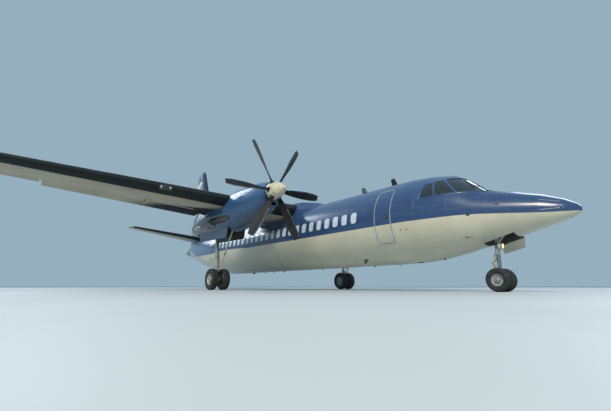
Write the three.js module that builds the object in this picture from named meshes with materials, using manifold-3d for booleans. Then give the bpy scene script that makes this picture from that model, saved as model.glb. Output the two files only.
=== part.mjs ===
// Twin-turboprop high-wing transport aircraft, standing on its landing gear.
// Millimetres. +X forward, +Y to port, +Z up. The origin is on the ground, under the middle of the
// outline box. Stations are measured aft of the nose, heights from the axis of the round fuselage.
import * as THREE from 'three';
import { mergeVertices } from 'three/addons/utils/BufferGeometryUtils.js';
import Module from 'manifold-3d';

const wasm = await Module();
wasm.setup();

// Driving dimensions
const LENGTH = 25250;
const SPAN = 29000;
const HEIGHT = 8617;
const AXIS_HEIGHT = 2200;
const SEAT = 0.3;
const RUNNING_GAP = 12;

const ROOT_CHORD = 3464;
const TIP_CHORD = 1400;
const ROOT_THICKNESS = 710;
const TIP_THICKNESS = 210;
const ROOT_LEADING = 9600;
const TIP_LEADING = 10350;
const WING_HEIGHT = 1150;
const DIHEDRAL = THREE.MathUtils.degToRad(2.5);
const OUTER_PANEL_Y = 4300;
const WING_INCIDENCE = THREE.MathUtils.degToRad(2.5);

const NACELLE_Y = 3600;
const PROP_STATION = 7360;
const PROP_HEIGHT = 1092;
const PROP_RADIUS = 1830;
const BLADES = 6;

const MAIN_STATION = 11560;
const NOSE_STATION = 1980;
const MAIN_TYRE = { radius: 425, width: 265, rim: 222, track: 255 };
const NOSE_TYRE = { radius: 305, width: 190, rim: 155, track: 175 };

const TAIL_SPAN = 9750;
const FLAP_SET = THREE.MathUtils.degToRad(10);

// Paint and bare finishes
const FINISHES = {
  belly: { color: 0xb9b6a4, roughness: 0.45, metalness: 0.1 },
  blue: { color: 0x26365e, roughness: 0.35, metalness: 0.1 },
  wing: { color: 0x98968a, roughness: 0.5, metalness: 0.1 },
  glass: { color: 0x10161d, roughness: 0.1, metalness: 0 },
  rubber: { color: 0x17181a, roughness: 0.9, metalness: 0 },
  steel: { color: 0x8d9094, roughness: 0.4, metalness: 0.8 },
  gear: { color: 0xa9adad, roughness: 0.45, metalness: 0.3 },
  spinner: { color: 0xcfc8b6, roughness: 0.35, metalness: 0.1 },
  blade: { color: 0x1b1d20, roughness: 0.5, metalness: 0 },
  engine: { color: 0x5a5c5e, roughness: 0.6, metalness: 0.7 },
};

const stationX = (station) => LENGTH / 2 - station;
const groundZ = (height) => AXIS_HEIGHT + height;
const radians = THREE.MathUtils.degToRad;

// Solids and geometries
function toSolid(geometry) {
  const plain = geometry.clone();
  for (const name of Object.keys(plain.attributes)) {
    if (name !== 'position') plain.deleteAttribute(name);
  }
  const merged = mergeVertices(plain, 1e-3);
  const index = merged.index.array;
  const triangles = [];
  for (let i = 0; i < index.length; i += 3) {
    const [a, b, c] = [index[i], index[i + 1], index[i + 2]];
    if (a !== b && b !== c && c !== a) triangles.push(a, b, c);
  }
  return new wasm.Manifold(new wasm.Mesh({
    numProp: 3,
    vertProperties: new Float32Array(merged.attributes.position.array),
    triVerts: new Uint32Array(triangles),
  }));
}

function toGeometry(solid) {
  const mesh = solid.getMesh();
  const geometry = new THREE.BufferGeometry();
  const positions = new Float32Array(mesh.vertProperties);
  geometry.setAttribute('position', new THREE.BufferAttribute(positions, 3));
  geometry.setIndex(new THREE.BufferAttribute(new Uint32Array(mesh.triVerts), 1));
  geometry.computeVertexNormals();
  return geometry;
}

// The largest body of a cut, without the slivers that a tangent cut leaves
function mainBody(solid) {
  return solid.decompose().reduce((best, next) => (next.volume() > best.volume() ? next : best));
}

// A closed skin over rings of equal point counts, with flat ends. Each ring is an outline of
// Vector2 points and a function that places a point of it in space.
function loft(rings) {
  const count = rings[0].outline.length;
  const positions = [];
  for (const { outline, place } of rings) {
    for (const point of outline) positions.push(...place(point).toArray());
  }
  const triangles = [];
  for (let ring = 0; ring < rings.length - 1; ring += 1) {
    for (let i = 0; i < count; i += 1) {
      const a = ring * count + i;
      const b = ring * count + ((i + 1) % count);
      triangles.push(a, b, b + count, a, b + count, a + count);
    }
  }
  const clockwise = THREE.ShapeUtils.isClockWise(rings[0].outline);
  const last = (rings.length - 1) * count;
  for (const [a, b, c] of THREE.ShapeUtils.triangulateShape(rings[0].outline, [])) {
    triangles.push(...(clockwise ? [a, b, c] : [a, c, b]));
  }
  for (const [a, b, c] of THREE.ShapeUtils.triangulateShape(rings.at(-1).outline, [])) {
    triangles.push(...(clockwise ? [last + a, last + c, last + b] : [last + a, last + b, last + c]));
  }
  if (clockwise) triangles.reverse();
  const points = new Float32Array(positions);
  if (enclosedVolume(points, triangles) < 0) triangles.reverse();
  return new wasm.Manifold(new wasm.Mesh({
    numProp: 3,
    vertProperties: points,
    triVerts: new Uint32Array(triangles),
  }));
}

function enclosedVolume(points, triangles) {
  const corners = [new THREE.Vector3(), new THREE.Vector3(), new THREE.Vector3()];
  let volume = 0;
  for (let i = 0; i < triangles.length; i += 3) {
    corners.forEach((corner, k) => corner.fromArray(points, 3 * triangles[i + k]));
    volume += corners[0].dot(corners[1].cross(corners[2])) / 6;
  }
  return volume;
}

function mirrored(solid) {
  const mesh = solid.getMesh();
  const points = new Float32Array(mesh.vertProperties);
  for (let i = 1; i < points.length; i += 3) points[i] = -points[i];
  const triangles = new Uint32Array(mesh.triVerts).reverse();
  return new wasm.Manifold(new wasm.Mesh({ numProp: 3, vertProperties: points, triVerts: triangles }));
}

function moved(solid, matrix) {
  return toSolid(toGeometry(solid).applyMatrix4(matrix));
}

function turnedAbout(solid, origin, axis, angle) {
  const matrix = new THREE.Matrix4().makeTranslation(...origin.toArray());
  matrix.multiply(new THREE.Matrix4().makeRotationAxis(axis, angle));
  matrix.multiply(new THREE.Matrix4().makeTranslation(...origin.clone().negate().toArray()));
  return moved(solid, matrix);
}

function box(xRange, yRange, zRange) {
  const size = [xRange, yRange, zRange].map(([low, high]) => high - low);
  const middle = [xRange, yRange, zRange].map(([low, high]) => (low + high) / 2);
  return toSolid(new THREE.BoxGeometry(...size).translate(...middle));
}

// A box given by its stations aft of the nose, its sides and its heights from the axis
const cabinBox = (stations, sides, heights) => box(
  [stationX(stations[1]), stationX(stations[0])],
  sides,
  [groundZ(heights[0]), groundZ(heights[1])],
);

// A round bar from one point to another
function bar(from, to, radius, sides = 16, endRadius = radius) {
  const along = to.clone().sub(from);
  const geometry = new THREE.CylinderGeometry(endRadius, radius, along.length(), sides);
  const turn = new THREE.Quaternion().setFromUnitVectors(
    new THREE.Vector3(0, 1, 0),
    along.clone().normalize(),
  );
  geometry.applyQuaternion(turn);
  return toSolid(geometry.translate(...from.clone().add(to).multiplyScalar(0.5).toArray()));
}

// A side-view outline of [station, height] corners, extruded across the aircraft
function sideCut(corners, left, right) {
  const shape = new THREE.Shape(corners.map(([station, height]) => (
    new THREE.Vector2(stationX(station), groundZ(height)))));
  const geometry = new THREE.ExtrudeGeometry(shape, { depth: left - right, bevelEnabled: false });
  geometry.rotateX(Math.PI / 2);
  return toSolid(geometry.translate(0, left, 0));
}

// A body turned about a line along Y, from [distance, radius] pairs
function turnedAcross(profile, centre, sides) {
  const geometry = new THREE.LatheGeometry(
    profile.map(([along, radius]) => new THREE.Vector2(radius, along)),
    sides,
  );
  return toSolid(geometry.translate(...centre.toArray()));
}

// Smooth values between the rows of a table, whose first column is the station
function rowAt(table, station) {
  const last = table.length - 1;
  let i = table.findIndex((row, k) => k < last && station <= table[k + 1][0]);
  if (i < 0) i = last - 1;
  const slope = (k, column) => {
    if (k === 0 || k === last) {
      const [a, b] = k === 0 ? [0, 1] : [last - 1, last];
      return (table[b][column] - table[a][column]) / (table[b][0] - table[a][0]);
    }
    const before = (table[k][column] - table[k - 1][column]) / (table[k][0] - table[k - 1][0]);
    const after = (table[k + 1][column] - table[k][column]) / (table[k + 1][0] - table[k][0]);
    return before * after <= 0 ? 0 : (2 * before * after) / (before + after);
  };
  const width = table[i + 1][0] - table[i][0];
  const t = (station - table[i][0]) / width;
  return table[i].map((value, column) => {
    if (column === 0) return station;
    const next = table[i + 1][column];
    return value * (1 + 2 * t) * (1 - t) ** 2 + next * t * t * (3 - 2 * t)
      + width * t * (1 - t) * (slope(i, column) * (1 - t) - slope(i + 1, column) * t);
  });
}

// Columns: station, half width, crown, keel, height of the widest point
const HULL = [
  [0, 40, -260, -340, -300],
  [60, 140, -180, -420, -300],
  [300, 290, -20, -520, -270],
  [700, 440, 150, -630, -230],
  [1300, 630, 340, -780, -180],
  [2000, 840, 530, -950, -130],
  [2450, 980, 900, -1050, -100],
  [2850, 1100, 1160, -1140, -70],
  [3500, 1240, 1290, -1265, -30],
  [4200, 1325, 1342, -1335, -5],
  [4900, 1350, 1350, -1350, 0],
  [16600, 1350, 1350, -1350, 0],
  [18000, 1325, 1345, -1270, 20],
  [19500, 1225, 1320, -1010, 110],
  [21000, 1010, 1255, -660, 250],
  [22500, 720, 1120, -270, 390],
  [23800, 420, 880, 50, 450],
  [24700, 200, 640, 230, 430],
  [25250, 45, 420, 320, 370],
];
const HULL_SIDES = 32;

// Columns as in the fuselage's table
const NACELLE = [
  [7560, 330, 1425, 560, 1060],
  [7800, 400, 1480, 400, 1020],
  [8300, 480, 1540, 240, 960],
  [9000, 545, 1590, 110, 880],
  [10000, 590, 1600, -10, 760],
  [11200, 600, 1560, -60, 700],
  [12300, 560, 1400, -20, 680],
  [13300, 450, 1120, 100, 620],
  [14200, 260, 830, 280, 560],
  [14880, 40, 540, 450, 495],
];
const NACELLE_SIDES = 20;
const HOLLOW_SIDES = 16;

function ovalRing([station, half, crown, keel, widest], sides, side, grow) {
  const outline = Array.from({ length: sides }, (_, i) => {
    const angle = (2 * Math.PI * i) / sides;
    const reach = Math.sin(angle) >= 0 ? crown - widest : widest - keel;
    return new THREE.Vector2(
      (half + grow) * Math.cos(angle),
      (reach + grow) * Math.sin(angle),
    );
  });
  const place = (point) => new THREE.Vector3(stationX(station), side + point.x, groundZ(widest + point.y));
  return { outline, place };
}

// The stations at which an oval body's skin has rings: the table's own, some between them where it
// curves, and the joints between its sections
const RING_SPACE = 50;

function skinStations(table, joints, step) {
  const stations = [...joints];
  for (let k = 0; k < table.length - 1; k += 1) {
    const [start, end] = [table[k][0], table[k + 1][0]];
    const straight = [1, 2, 3].every((column) => Math.abs(table[k][column] - table[k + 1][column]) < 1);
    const pieces = straight ? 1 : Math.ceil((end - start) / step);
    for (let i = 0; i <= pieces; i += 1) stations.push(start + ((end - start) * i) / pieces);
  }
  const apart = stations.filter((station) => (
    joints.includes(station) || joints.every((joint) => Math.abs(joint - station) > RING_SPACE)));
  return [...new Set(apart)].sort((a, b) => a - b);
}

// The part of an oval body between two stations, cut from one faceted skin
function ovalBody(table, skin, from, to, { sides, side = 0, grow = 0 }) {
  const rowOnSkin = (station) => {
    const i = Math.min(Math.max(skin.findIndex((stop) => stop >= station), 1), skin.length - 1);
    const [before, after] = [rowAt(table, skin[i - 1]), rowAt(table, skin[i])];
    const t = (station - before[0]) / (after[0] - before[0]);
    return before.map((value, column) => value + (after[column] - value) * t);
  };
  const stations = [from, ...skin.filter((station) => station > from + 1 && station < to - 1), to];
  return loft(stations.map((station) => ovalRing(rowOnSkin(station), sides, side, grow)));
}

const HULL_END = LENGTH;
const CUTS = { radome: 760, cockpit: 4100, forward: 8300, centre: 14800, aft: 19300 };
const SKIN = 90;
const HULL_SKIN = skinStations(HULL, Object.values(CUTS), 1100);
const HOLLOW_SKIN = skinStations(HULL, [], LENGTH);
const hull = (from, to, grow = 0) => ovalBody(HULL, HULL_SKIN, from, to, { sides: HULL_SIDES, grow });
const hullSection = (from, to) => hull(from + SEAT / 2, to - SEAT / 2);
const hullHollow = (from, to) => (
  ovalBody(HULL, HOLLOW_SKIN, from, to, { sides: HOLLOW_SIDES, grow: -SKIN }));

// Aerofoils
const FOIL_STEPS = 10;
const CAMBER = 0.02;
const EDGE_THICKNESS = 3;

// Half the thickness at a share of the chord, from the greatest thickness
function foilHalf(x, thick) {
  return 5 * thick * (0.2969 * Math.sqrt(x) - 0.126 * x - 0.3516 * x ** 2 + 0.2843 * x ** 3
    - 0.1036 * x ** 4);
}

// Upper surface from the trailing edge forward, then the lower surface back, as (aft, up) points
function foilOutline({ chord, thick, camber = CAMBER, grow = 0 }) {
  const fractions = Array.from({ length: FOIL_STEPS + 1 }, (_, i) => (
    (1 - Math.cos((Math.PI * i) / FOIL_STEPS)) / 2));
  const point = (x, side) => new THREE.Vector2(
    x * chord + grow * (x === 0 ? -1 : Number(x === 1)),
    4 * camber * x * (1 - x) * chord + side * (foilHalf(x, thick) + EDGE_THICKNESS + grow),
  );
  const upper = fractions.slice(1).reverse().map((x) => point(x, 1));
  const lower = fractions.slice(1).map((x) => point(x, -1));
  return [...upper, new THREE.Vector2(-grow, 0), ...lower];
}

// Wing stations by the linear taper from the centre line, as a full set of section values
function wingSection(y) {
  const share = Math.abs(y) / (SPAN / 2);
  return {
    y,
    leading: THREE.MathUtils.lerp(ROOT_LEADING, TIP_LEADING, share),
    chord: THREE.MathUtils.lerp(ROOT_CHORD, TIP_CHORD, share),
    height: WING_HEIGHT + Math.max(0, Math.abs(y) - NACELLE_Y) * Math.tan(DIHEDRAL),
    thick: THREE.MathUtils.lerp(ROOT_THICKNESS, TIP_THICKNESS, share),
    incidence: WING_INCIDENCE,
  };
}

const TAIL_ROOT = { leading: 20950, chord: 2480, height: 1060 };
const TAIL_TIP = { leading: 22080, chord: 960, height: 1690 };
const TAIL_RATIO = 0.115;

function tailSection(y) {
  const share = Math.abs(y) / (TAIL_SPAN / 2);
  return {
    y,
    leading: THREE.MathUtils.lerp(TAIL_ROOT.leading, TAIL_TIP.leading, share),
    chord: THREE.MathUtils.lerp(TAIL_ROOT.chord, TAIL_TIP.chord, share),
    height: THREE.MathUtils.lerp(TAIL_ROOT.height, TAIL_TIP.height, share),
    thick: TAIL_RATIO * THREE.MathUtils.lerp(TAIL_ROOT.chord, TAIL_TIP.chord, share),
    incidence: 0,
    camber: 0,
  };
}

const FIN_BASE = { height: 950, leading: 20080, chord: 4420 };
const FIN_TIP = { height: HEIGHT - AXIS_HEIGHT, leading: 22560, chord: 1250 };
const FIN_RATIO = 0.1;

// The fin's sections lie flat, so y is the height here and the outline's up is the side
function finSection(height) {
  const share = (height - FIN_BASE.height) / (FIN_TIP.height - FIN_BASE.height);
  return {
    y: height,
    leading: THREE.MathUtils.lerp(FIN_BASE.leading, FIN_TIP.leading, share),
    chord: THREE.MathUtils.lerp(FIN_BASE.chord, FIN_TIP.chord, share),
    height: 0,
    thick: FIN_RATIO * THREE.MathUtils.lerp(FIN_BASE.chord, FIN_TIP.chord, share),
    incidence: 0,
    camber: 0,
    upright: true,
  };
}

// Where a section's (aft, up) point lies in space
function placeInSection(section, point) {
  const quarter = section.chord / 4;
  const aft = point.x - quarter;
  const turn = section.incidence;
  const back = aft * Math.cos(turn) + point.y * Math.sin(turn) + quarter;
  const up = point.y * Math.cos(turn) - aft * Math.sin(turn);
  const x = stationX(section.leading + back);
  if (section.upright) return new THREE.Vector3(x, up, groundZ(section.y));
  return new THREE.Vector3(x, section.y, groundZ(section.height + up));
}

function foilRing(section, grow = 0) {
  return {
    outline: foilOutline({ ...section, grow }),
    place: (point) => placeInSection(section, point),
  };
}

// A rounded tip: sections that shrink towards the middle of the chord
// Columns: distance in from the tip, share of the chord, share of the thickness
const TIP_ROUNDING = [
  [420, 1, 1],
  [200, 0.965, 0.86],
  [70, 0.86, 0.6],
  [0, 0.6, 0.2],
];
const TIP_MIDDLE = 0.45;

function tipSections(sectionAt, end, scale = 1) {
  return TIP_ROUNDING.map(([inward, chordShare, thickShare]) => {
    const section = sectionAt(end - Math.sign(end) * inward * scale);
    return {
      ...section,
      leading: section.leading + section.chord * (1 - chordShare) * TIP_MIDDLE,
      chord: section.chord * chordShare,
      thick: section.thick * thickShare,
    };
  });
}

// Control surfaces
// Each swings on a straight hinge line with a round nose about that line, in a cove of the fixed part
function hingePoint(section, share) {
  const half = foilHalf(share, section.thick);
  const camber = 4 * (section.camber ?? CAMBER) * share * (1 - share) * section.chord;
  return { point: new THREE.Vector2(share * section.chord, camber), nose: half + EDGE_THICKNESS };
}

const NOSE_STEPS = 8;
const CLEAR_REACH = 400;

function arcPoints(centre, radius, from, to, steps) {
  return Array.from({ length: steps + 1 }, (_, i) => {
    const angle = from + ((to - from) * i) / steps;
    return new THREE.Vector2(centre.x + radius * Math.cos(angle), centre.y + radius * Math.sin(angle));
  });
}

function surfaceRing(section, share) {
  const { point, nose } = hingePoint(section, share);
  const edge = section.chord;
  return {
    outline: [
      ...arcPoints(point, nose, Math.PI / 2, 1.5 * Math.PI, NOSE_STEPS),
      new THREE.Vector2(edge, -EDGE_THICKNESS),
      new THREE.Vector2(edge, EDGE_THICKNESS),
    ],
    place: (corner) => placeInSection(section, corner),
  };
}

// The room that a surface swings in: a round cove, open to the rear. Its lower lip is trimmed back by an
// angle, which leaves the slot that the flaps drop through.
function coveRing(section, share, slot) {
  const { point, nose } = hingePoint(section, share);
  const radius = nose + RUNNING_GAP;
  const high = radius + CLEAR_REACH;
  const arc = arcPoints(point, radius, Math.PI / 2, 1.5 * Math.PI - slot, NOSE_STEPS);
  return {
    outline: [
      new THREE.Vector2(section.chord + CLEAR_REACH, point.y + high),
      new THREE.Vector2(point.x, point.y + high),
      ...arc,
      new THREE.Vector2(arc.at(-1).x, point.y - high),
      new THREE.Vector2(section.chord + CLEAR_REACH, point.y - high),
    ],
    place: (corner) => placeInSection(section, corner),
  };
}

// Aft of the hinge line everything is cleared, the ribs between two surfaces too
const RIB_REACH = 60;
function aftClearRing(section, share) {
  const { point } = hingePoint(section, share);
  const start = point.x + RIB_REACH;
  const end = section.chord + CLEAR_REACH;
  return {
    outline: [
      new THREE.Vector2(start, -2 * CLEAR_REACH),
      new THREE.Vector2(end, -2 * CLEAR_REACH),
      new THREE.Vector2(end, 2 * CLEAR_REACH),
      new THREE.Vector2(start, 2 * CLEAR_REACH),
    ],
    place: (corner) => placeInSection(section, corner),
  };
}

// Each surface from its inner to its outer end, with the hinge as a share of the chord, the angle of the
// slot below its nose, and the ends at which the rib between two surfaces stops short
const SLOT = radians(45);
const SURFACES = [
  { name: 'flap_inboard', at: wingSection, inner: 1440, outer: 2950, share: 0.7, slot: SLOT },
  { name: 'flap_outboard', at: wingSection, inner: 4340, outer: 9830, share: 0.7, slot: SLOT, openOuter: true },
  { name: 'aileron', at: wingSection, inner: 9910, outer: 14040, share: 0.74, slot: 0, openInner: true },
  { name: 'elevator', at: tailSection, inner: 560, outer: 4560, share: 0.62, slot: 0 },
  { name: 'rudder', at: finSection, inner: 1560, outer: 6000, share: 0.66, slot: 0 },
];
const END_GAP = 20;
const PIN_RADIUS = 14;
const PIN_ROOT = 40;

function hingeLine(surface) {
  const ends = [surface.inner, surface.outer].map((y) => {
    const section = surface.at(y);
    return placeInSection(section, hingePoint(section, surface.share).point);
  });
  const axis = ends[1].clone().sub(ends[0]).normalize();
  return { ends, axis };
}

function controlSurface(surface) {
  const rings = [surface.inner, surface.outer].map((y) => surfaceRing(surface.at(y), surface.share));
  let solid = loft(rings);
  const { ends, axis } = hingeLine(surface);
  const across = surface.at(surface.inner).upright ? axis.z : axis.y;
  const tilt = Math.acos(across);
  const reach = END_GAP / across - SEAT - PIN_RADIUS * Math.tan(tilt);
  for (const [end, sign] of [[ends[0], -1], [ends[1], 1]]) {
    const tip = end.clone().addScaledVector(axis, sign * reach);
    const root = end.clone().addScaledVector(axis, -sign * PIN_ROOT);
    solid = solid.add(bar(root, tip, PIN_RADIUS, 12));
  }
  return solid;
}

function surfaceRoom(surface) {
  const { inner, outer, at, share, slot, openInner, openOuter } = surface;
  const cove = loft([inner - END_GAP, outer + END_GAP].map((y) => coveRing(at(y), share, slot)));
  const from = inner - (openInner ? 2 * END_GAP + 1 : END_GAP);
  const to = outer + (openOuter ? 2 * END_GAP + 1 : END_GAP);
  const aft = loft([from, to].map((y) => aftClearRing(at(y), share)));
  return cove.add(aft);
}

const surfaceNamed = (name) => SURFACES.find((surface) => surface.name === name);

// The parts of the aircraft, each added to the group with its finish
const aircraft = new THREE.Group();

function put(name, solid, finish) {
  const material = new THREE.MeshStandardMaterial(FINISHES[finish]);
  const mesh = new THREE.Mesh(toGeometry(solid), material);
  mesh.name = name;
  aircraft.add(mesh);
}

// A port piece and its mirror image to starboard
function putPair(name, solid, finish) {
  put(`${name}_port`, solid, finish);
  put(`${name}_starboard`, mirrored(solid), finish);
}

// Wing
const wingRings = (stations, grow) => stations.map((y) => foilRing(wingSection(y), grow));
const wingTip = tipSections(wingSection, SPAN / 2);

function buildWing() {
  const inboardRoom = surfaceRoom(surfaceNamed('flap_inboard'));
  const edge = OUTER_PANEL_Y - SEAT;
  const centre = loft(wingRings([-edge, -NACELLE_Y, 0, NACELLE_Y, edge]))
    .subtract(inboardRoom)
    .subtract(mirrored(inboardRoom));
  put('wing_centre', mainBody(centre), 'wing');
  const outer = loft([
    foilRing(wingSection(OUTER_PANEL_Y)),
    ...wingTip.map((section) => foilRing(section)),
  ]);
  const cut = outer
    .subtract(surfaceRoom(surfaceNamed('flap_outboard')))
    .subtract(surfaceRoom(surfaceNamed('aileron')));
  putPair('wing_outer', mainBody(cut).add(podBody(WING_POD, wingSkinLow)), 'wing');
  for (const name of ['flap_inboard', 'flap_outboard']) {
    const surface = surfaceNamed(name);
    const { ends, axis } = hingeLine(surface);
    const pod = name === 'flap_outboard' ? [podBody(FLAP_POD, flapSkinLow)] : [];
    const flap = pod.reduce((all, next) => all.add(next), controlSurface(surface));
    putPair(name, turnedAbout(flap, ends[0], axis, -FLAP_SET), 'wing');
  }
  putPair('aileron', controlSurface(surfaceNamed('aileron')), 'wing');
}

// The pod under the outboard flap's middle hinge, in one part on the wing and one on the flap
// Columns: share of the chord, half width, depth below the skin
const WING_POD = [
  [0.44, 20, 5],
  [0.5, 60, 70],
  [0.57, 75, 105],
  [0.632, 75, 110],
];
const FLAP_POD = [
  [0.735, 75, 95],
  [0.8, 70, 80],
  [0.87, 50, 45],
  [0.93, 20, 5],
];
const POD_Y = 6600;

function podBody(table, skinAt) {
  const section = wingSection(POD_Y);
  return loft(table.map(([share, half, depth]) => {
    const skin = skinAt(section, share);
    const inside = skin * 0.5;
    const edge = skin - depth * 0.6;
    const low = skin - depth;
    const corners = [
      [-half, inside],
      [-half, edge],
      [-half / 2, low],
      [half / 2, low],
      [half, edge],
      [half, inside],
    ];
    return {
      outline: corners.map(([side, up]) => new THREE.Vector2(side, up)),
      place: (point) => placeInSection(
        wingSection(POD_Y + point.x),
        new THREE.Vector2(share * section.chord, point.y),
      ),
    };
  }));
}

function wingSkinLow(section, share) {
  return 4 * CAMBER * share * (1 - share) * section.chord - foilHalf(share, section.thick) - EDGE_THICKNESS;
}

function flapSkinLow(section, share) {
  const hinge = surfaceNamed('flap_outboard').share;
  const { point, nose } = hingePoint(section, hinge);
  return THREE.MathUtils.lerp(point.y - nose, -EDGE_THICKNESS, (share - hinge) / (1 - hinge));
}

const wingClearance = loft(wingRings([-5000, -NACELLE_Y, 0, NACELLE_Y, 5000], 2 * SEAT));

// Fairing over the wing root
// Columns: station, half width at the foot, half width at the shoulder, top
const FAIRING = [
  [8500, 760, 300, 1240],
  [9000, 900, 560, 1440],
  [9600, 1040, 760, 1560],
  [10600, 1130, 860, 1620],
  [12000, 1120, 820, 1570],
  [13300, 1000, 620, 1460],
  [14600, 800, 300, 1250],
];
const FAIRING_FOOT = 700;
const FAIRING_SHOULDER = 0.55;

function fairingBlock(grow) {
  const rings = FAIRING.map((row, i) => {
    const [station, foot, shoulder, top] = row;
    const rise = top - FAIRING_FOOT;
    const bend = FAIRING_FOOT + rise * FAIRING_SHOULDER;
    const corners = [
      [foot + grow, FAIRING_FOOT - grow],
      [(foot + shoulder) / 2 + 130 + grow, bend],
      [shoulder + grow, top - 60 + grow],
      [shoulder * 0.5 + grow, top + grow],
    ];
    const outline = [
      ...corners.map(([y, z]) => new THREE.Vector2(y, z)),
      ...corners.reverse().map(([y, z]) => new THREE.Vector2(-y, z)),
    ];
    const end = grow * (i === 0 ? -1 : Number(i === FAIRING.length - 1));
    return {
      outline,
      place: (point) => new THREE.Vector3(stationX(station + end), point.x, groundZ(point.y)),
    };
  });
  return loft(rings);
}

// Fuselage
const GLASS = 30;
const BULKHEAD = 250;
const TAIL_HOLLOW = { to: 22400, roof: 820 };

// Side view of the glazing band, as [station, height] corners
const GLAZING = [[1500, 485], [3560, 420], [3470, 880], [2640, 1010], [1500, 1250]];

const NOSE_BAY = { from: 1400, to: 2180, half: 320, roof: -420 };

// Doors in the curved side
// Columns: first and last station, lowest and highest edge as angles up from the side, side
const DOORS = {
  airstair: { from: 4950, to: 5710, low: radians(-31), high: radians(53), side: 1 },
  service_door: { from: 4430, to: 5090, low: radians(-35), high: radians(46), side: -1 },
  aft_door_port: { from: 17110, to: 17990, low: radians(-22), high: radians(50), side: 1 },
  aft_door_starboard: { from: 17110, to: 17990, low: radians(-22), high: radians(46), side: -1 },
};
const DOOR_GAP = 8;
const PANEL_GAP = 3;
const DOOR_DEPTH = 80;
const AIRSTAIR_SILL_GAP = 10;
const AIRSTAIR_PIN = 8;
const AIRSTAIR_PIN_INSET = 4;

// A wedge from the fuselage axis, between two angles and two stations
function wedge(door, gap, lowGap = gap) {
  const reach = 2000;
  const ringAt = (station) => {
    const low = door.low - lowGap / 1350;
    const high = door.high + gap / 1350;
    const outline = [
      new THREE.Vector2(0, 0),
      ...arcPoints(new THREE.Vector2(0, 0), reach, low, high, 4),
    ];
    return {
      outline,
      place: (point) => new THREE.Vector3(stationX(station), door.side * point.x, groundZ(point.y)),
    };
  };
  return loft([ringAt(door.from - gap), ringAt(door.to + gap)]);
}

const shellOf = (from, to, depth) => hull(from, to).subtract(hull(from - 1, to + 1, -depth));

function doorPanel(door, depth = DOOR_DEPTH) {
  return shellOf(door.from - 200, door.to + 200, depth).intersect(wedge(door, 0));
}

function doorRecess(door, gap, depth) {
  return hull(door.from - 200, door.to + 200, 30)
    .subtract(hull(door.from - 201, door.to + 201, -depth))
    .intersect(wedge(door, gap));
}

const VESTIBULE = { from: 4800, to: 5900, starboard: -760, floor: -700, roof: 1120 };

function buildFuselage() {
  put('radome', hullSection(0, CUTS.radome), 'blue');

  const glazingPrism = sideCut(GLAZING, 1500, -1500);
  const glassRoom = glazingPrism.subtract(hull(0, 6000, -GLASS - SEAT));
  const bay = cabinBox(
    [NOSE_BAY.from, NOSE_BAY.to],
    [-NOSE_BAY.half, NOSE_BAY.half],
    [-1600, NOSE_BAY.roof],
  );
  const cockpit = hullSection(CUTS.radome, CUTS.cockpit).subtract(glassRoom).subtract(bay);
  put('fuselage_cockpit', mainBody(cockpit), 'blue');
  const inset = new THREE.Vector2(stationX(2800), groundZ(800));
  const shrink = new THREE.Matrix4().makeTranslation(inset.x, 0, inset.y)
    .multiply(new THREE.Matrix4().makeScale(0.9985, 1, 0.9985))
    .multiply(new THREE.Matrix4().makeTranslation(-inset.x, 0, -inset.y));
  const glass = moved(glazingPrism, shrink).intersect(shellOf(1200, 4000, GLASS));
  put('cockpit_glazing', mainBody(glass), 'glass');

  const room = hullHollow(CUTS.cockpit, CUTS.forward).intersect(cabinBox(
    [VESTIBULE.from, VESTIBULE.to],
    [VESTIBULE.starboard, 1400],
    [VESTIBULE.floor, VESTIBULE.roof],
  ));
  const doorwayInside = cabinBox([4000, 7000], [-3000, 500], [-2000, 2000]);
  const forward = hullSection(CUTS.cockpit, CUTS.forward)
    .subtract(room)
    .subtract(wedge(DOORS.airstair, DOOR_GAP, AIRSTAIR_SILL_GAP).subtract(doorwayInside))
    .subtract(doorRecess(DOORS.service_door, PANEL_GAP, DOOR_DEPTH + SEAT));
  put('fuselage_forward', mainBody(forward), 'belly');

  const centre = hullSection(CUTS.forward, CUTS.centre)
    .subtract(fairingBlock(2 * SEAT))
    .subtract(wingClearance);
  put('fuselage_centre', mainBody(centre), 'belly');
  put('wing_root_fairing', mainBody(fairingBlock(0).subtract(wingClearance)), 'blue');

  const aftRoom = hullHollow(CUTS.centre + BULKHEAD, CUTS.aft + 1);
  const aft = hullSection(CUTS.centre, CUTS.aft)
    .subtract(aftRoom)
    .subtract(doorRecess(DOORS.aft_door_port, PANEL_GAP, DOOR_DEPTH + SEAT))
    .subtract(doorRecess(DOORS.aft_door_starboard, PANEL_GAP, DOOR_DEPTH + SEAT));
  put('fuselage_aft', mainBody(aft), 'belly');

  const tailRoom = hullHollow(CUTS.aft - 1, TAIL_HOLLOW.to)
    .subtract(cabinBox([CUTS.aft, LENGTH], [-1500, 1500], [TAIL_HOLLOW.roof, 1500]));
  const tail = hullSection(CUTS.aft, HULL_END).subtract(tailRoom).subtract(tailClearance);
  put('tail_cone', mainBody(tail), 'belly');
}

function buildDoors() {
  const { airstair } = DOORS;
  const panel = doorPanel(airstair);
  const hinge = airstairHinge();
  const half = (airstair.to - airstair.from) / 2;
  const pins = [-1, 1].map((sign) => {
    const tip = hinge.clone().add(new THREE.Vector3(sign * (half + DOOR_GAP - SEAT), 0, 0));
    const root = hinge.clone().add(new THREE.Vector3(sign * (half - 40), 0, 0));
    return bar(root, tip, AIRSTAIR_PIN, 12);
  });
  const cleared = hull(airstair.from - 50, airstair.to + 50, AIRSTAIR_PIN);
  const stair = panel.add(airstairSteps());
  put('airstair', pins.reduce((all, pin) => all.add(pin.intersect(cleared)), stair), 'belly');
  for (const name of ['service_door', 'aft_door_port', 'aft_door_starboard']) {
    put(name, doorPanel(DOORS[name]), 'belly');
  }
}

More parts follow.
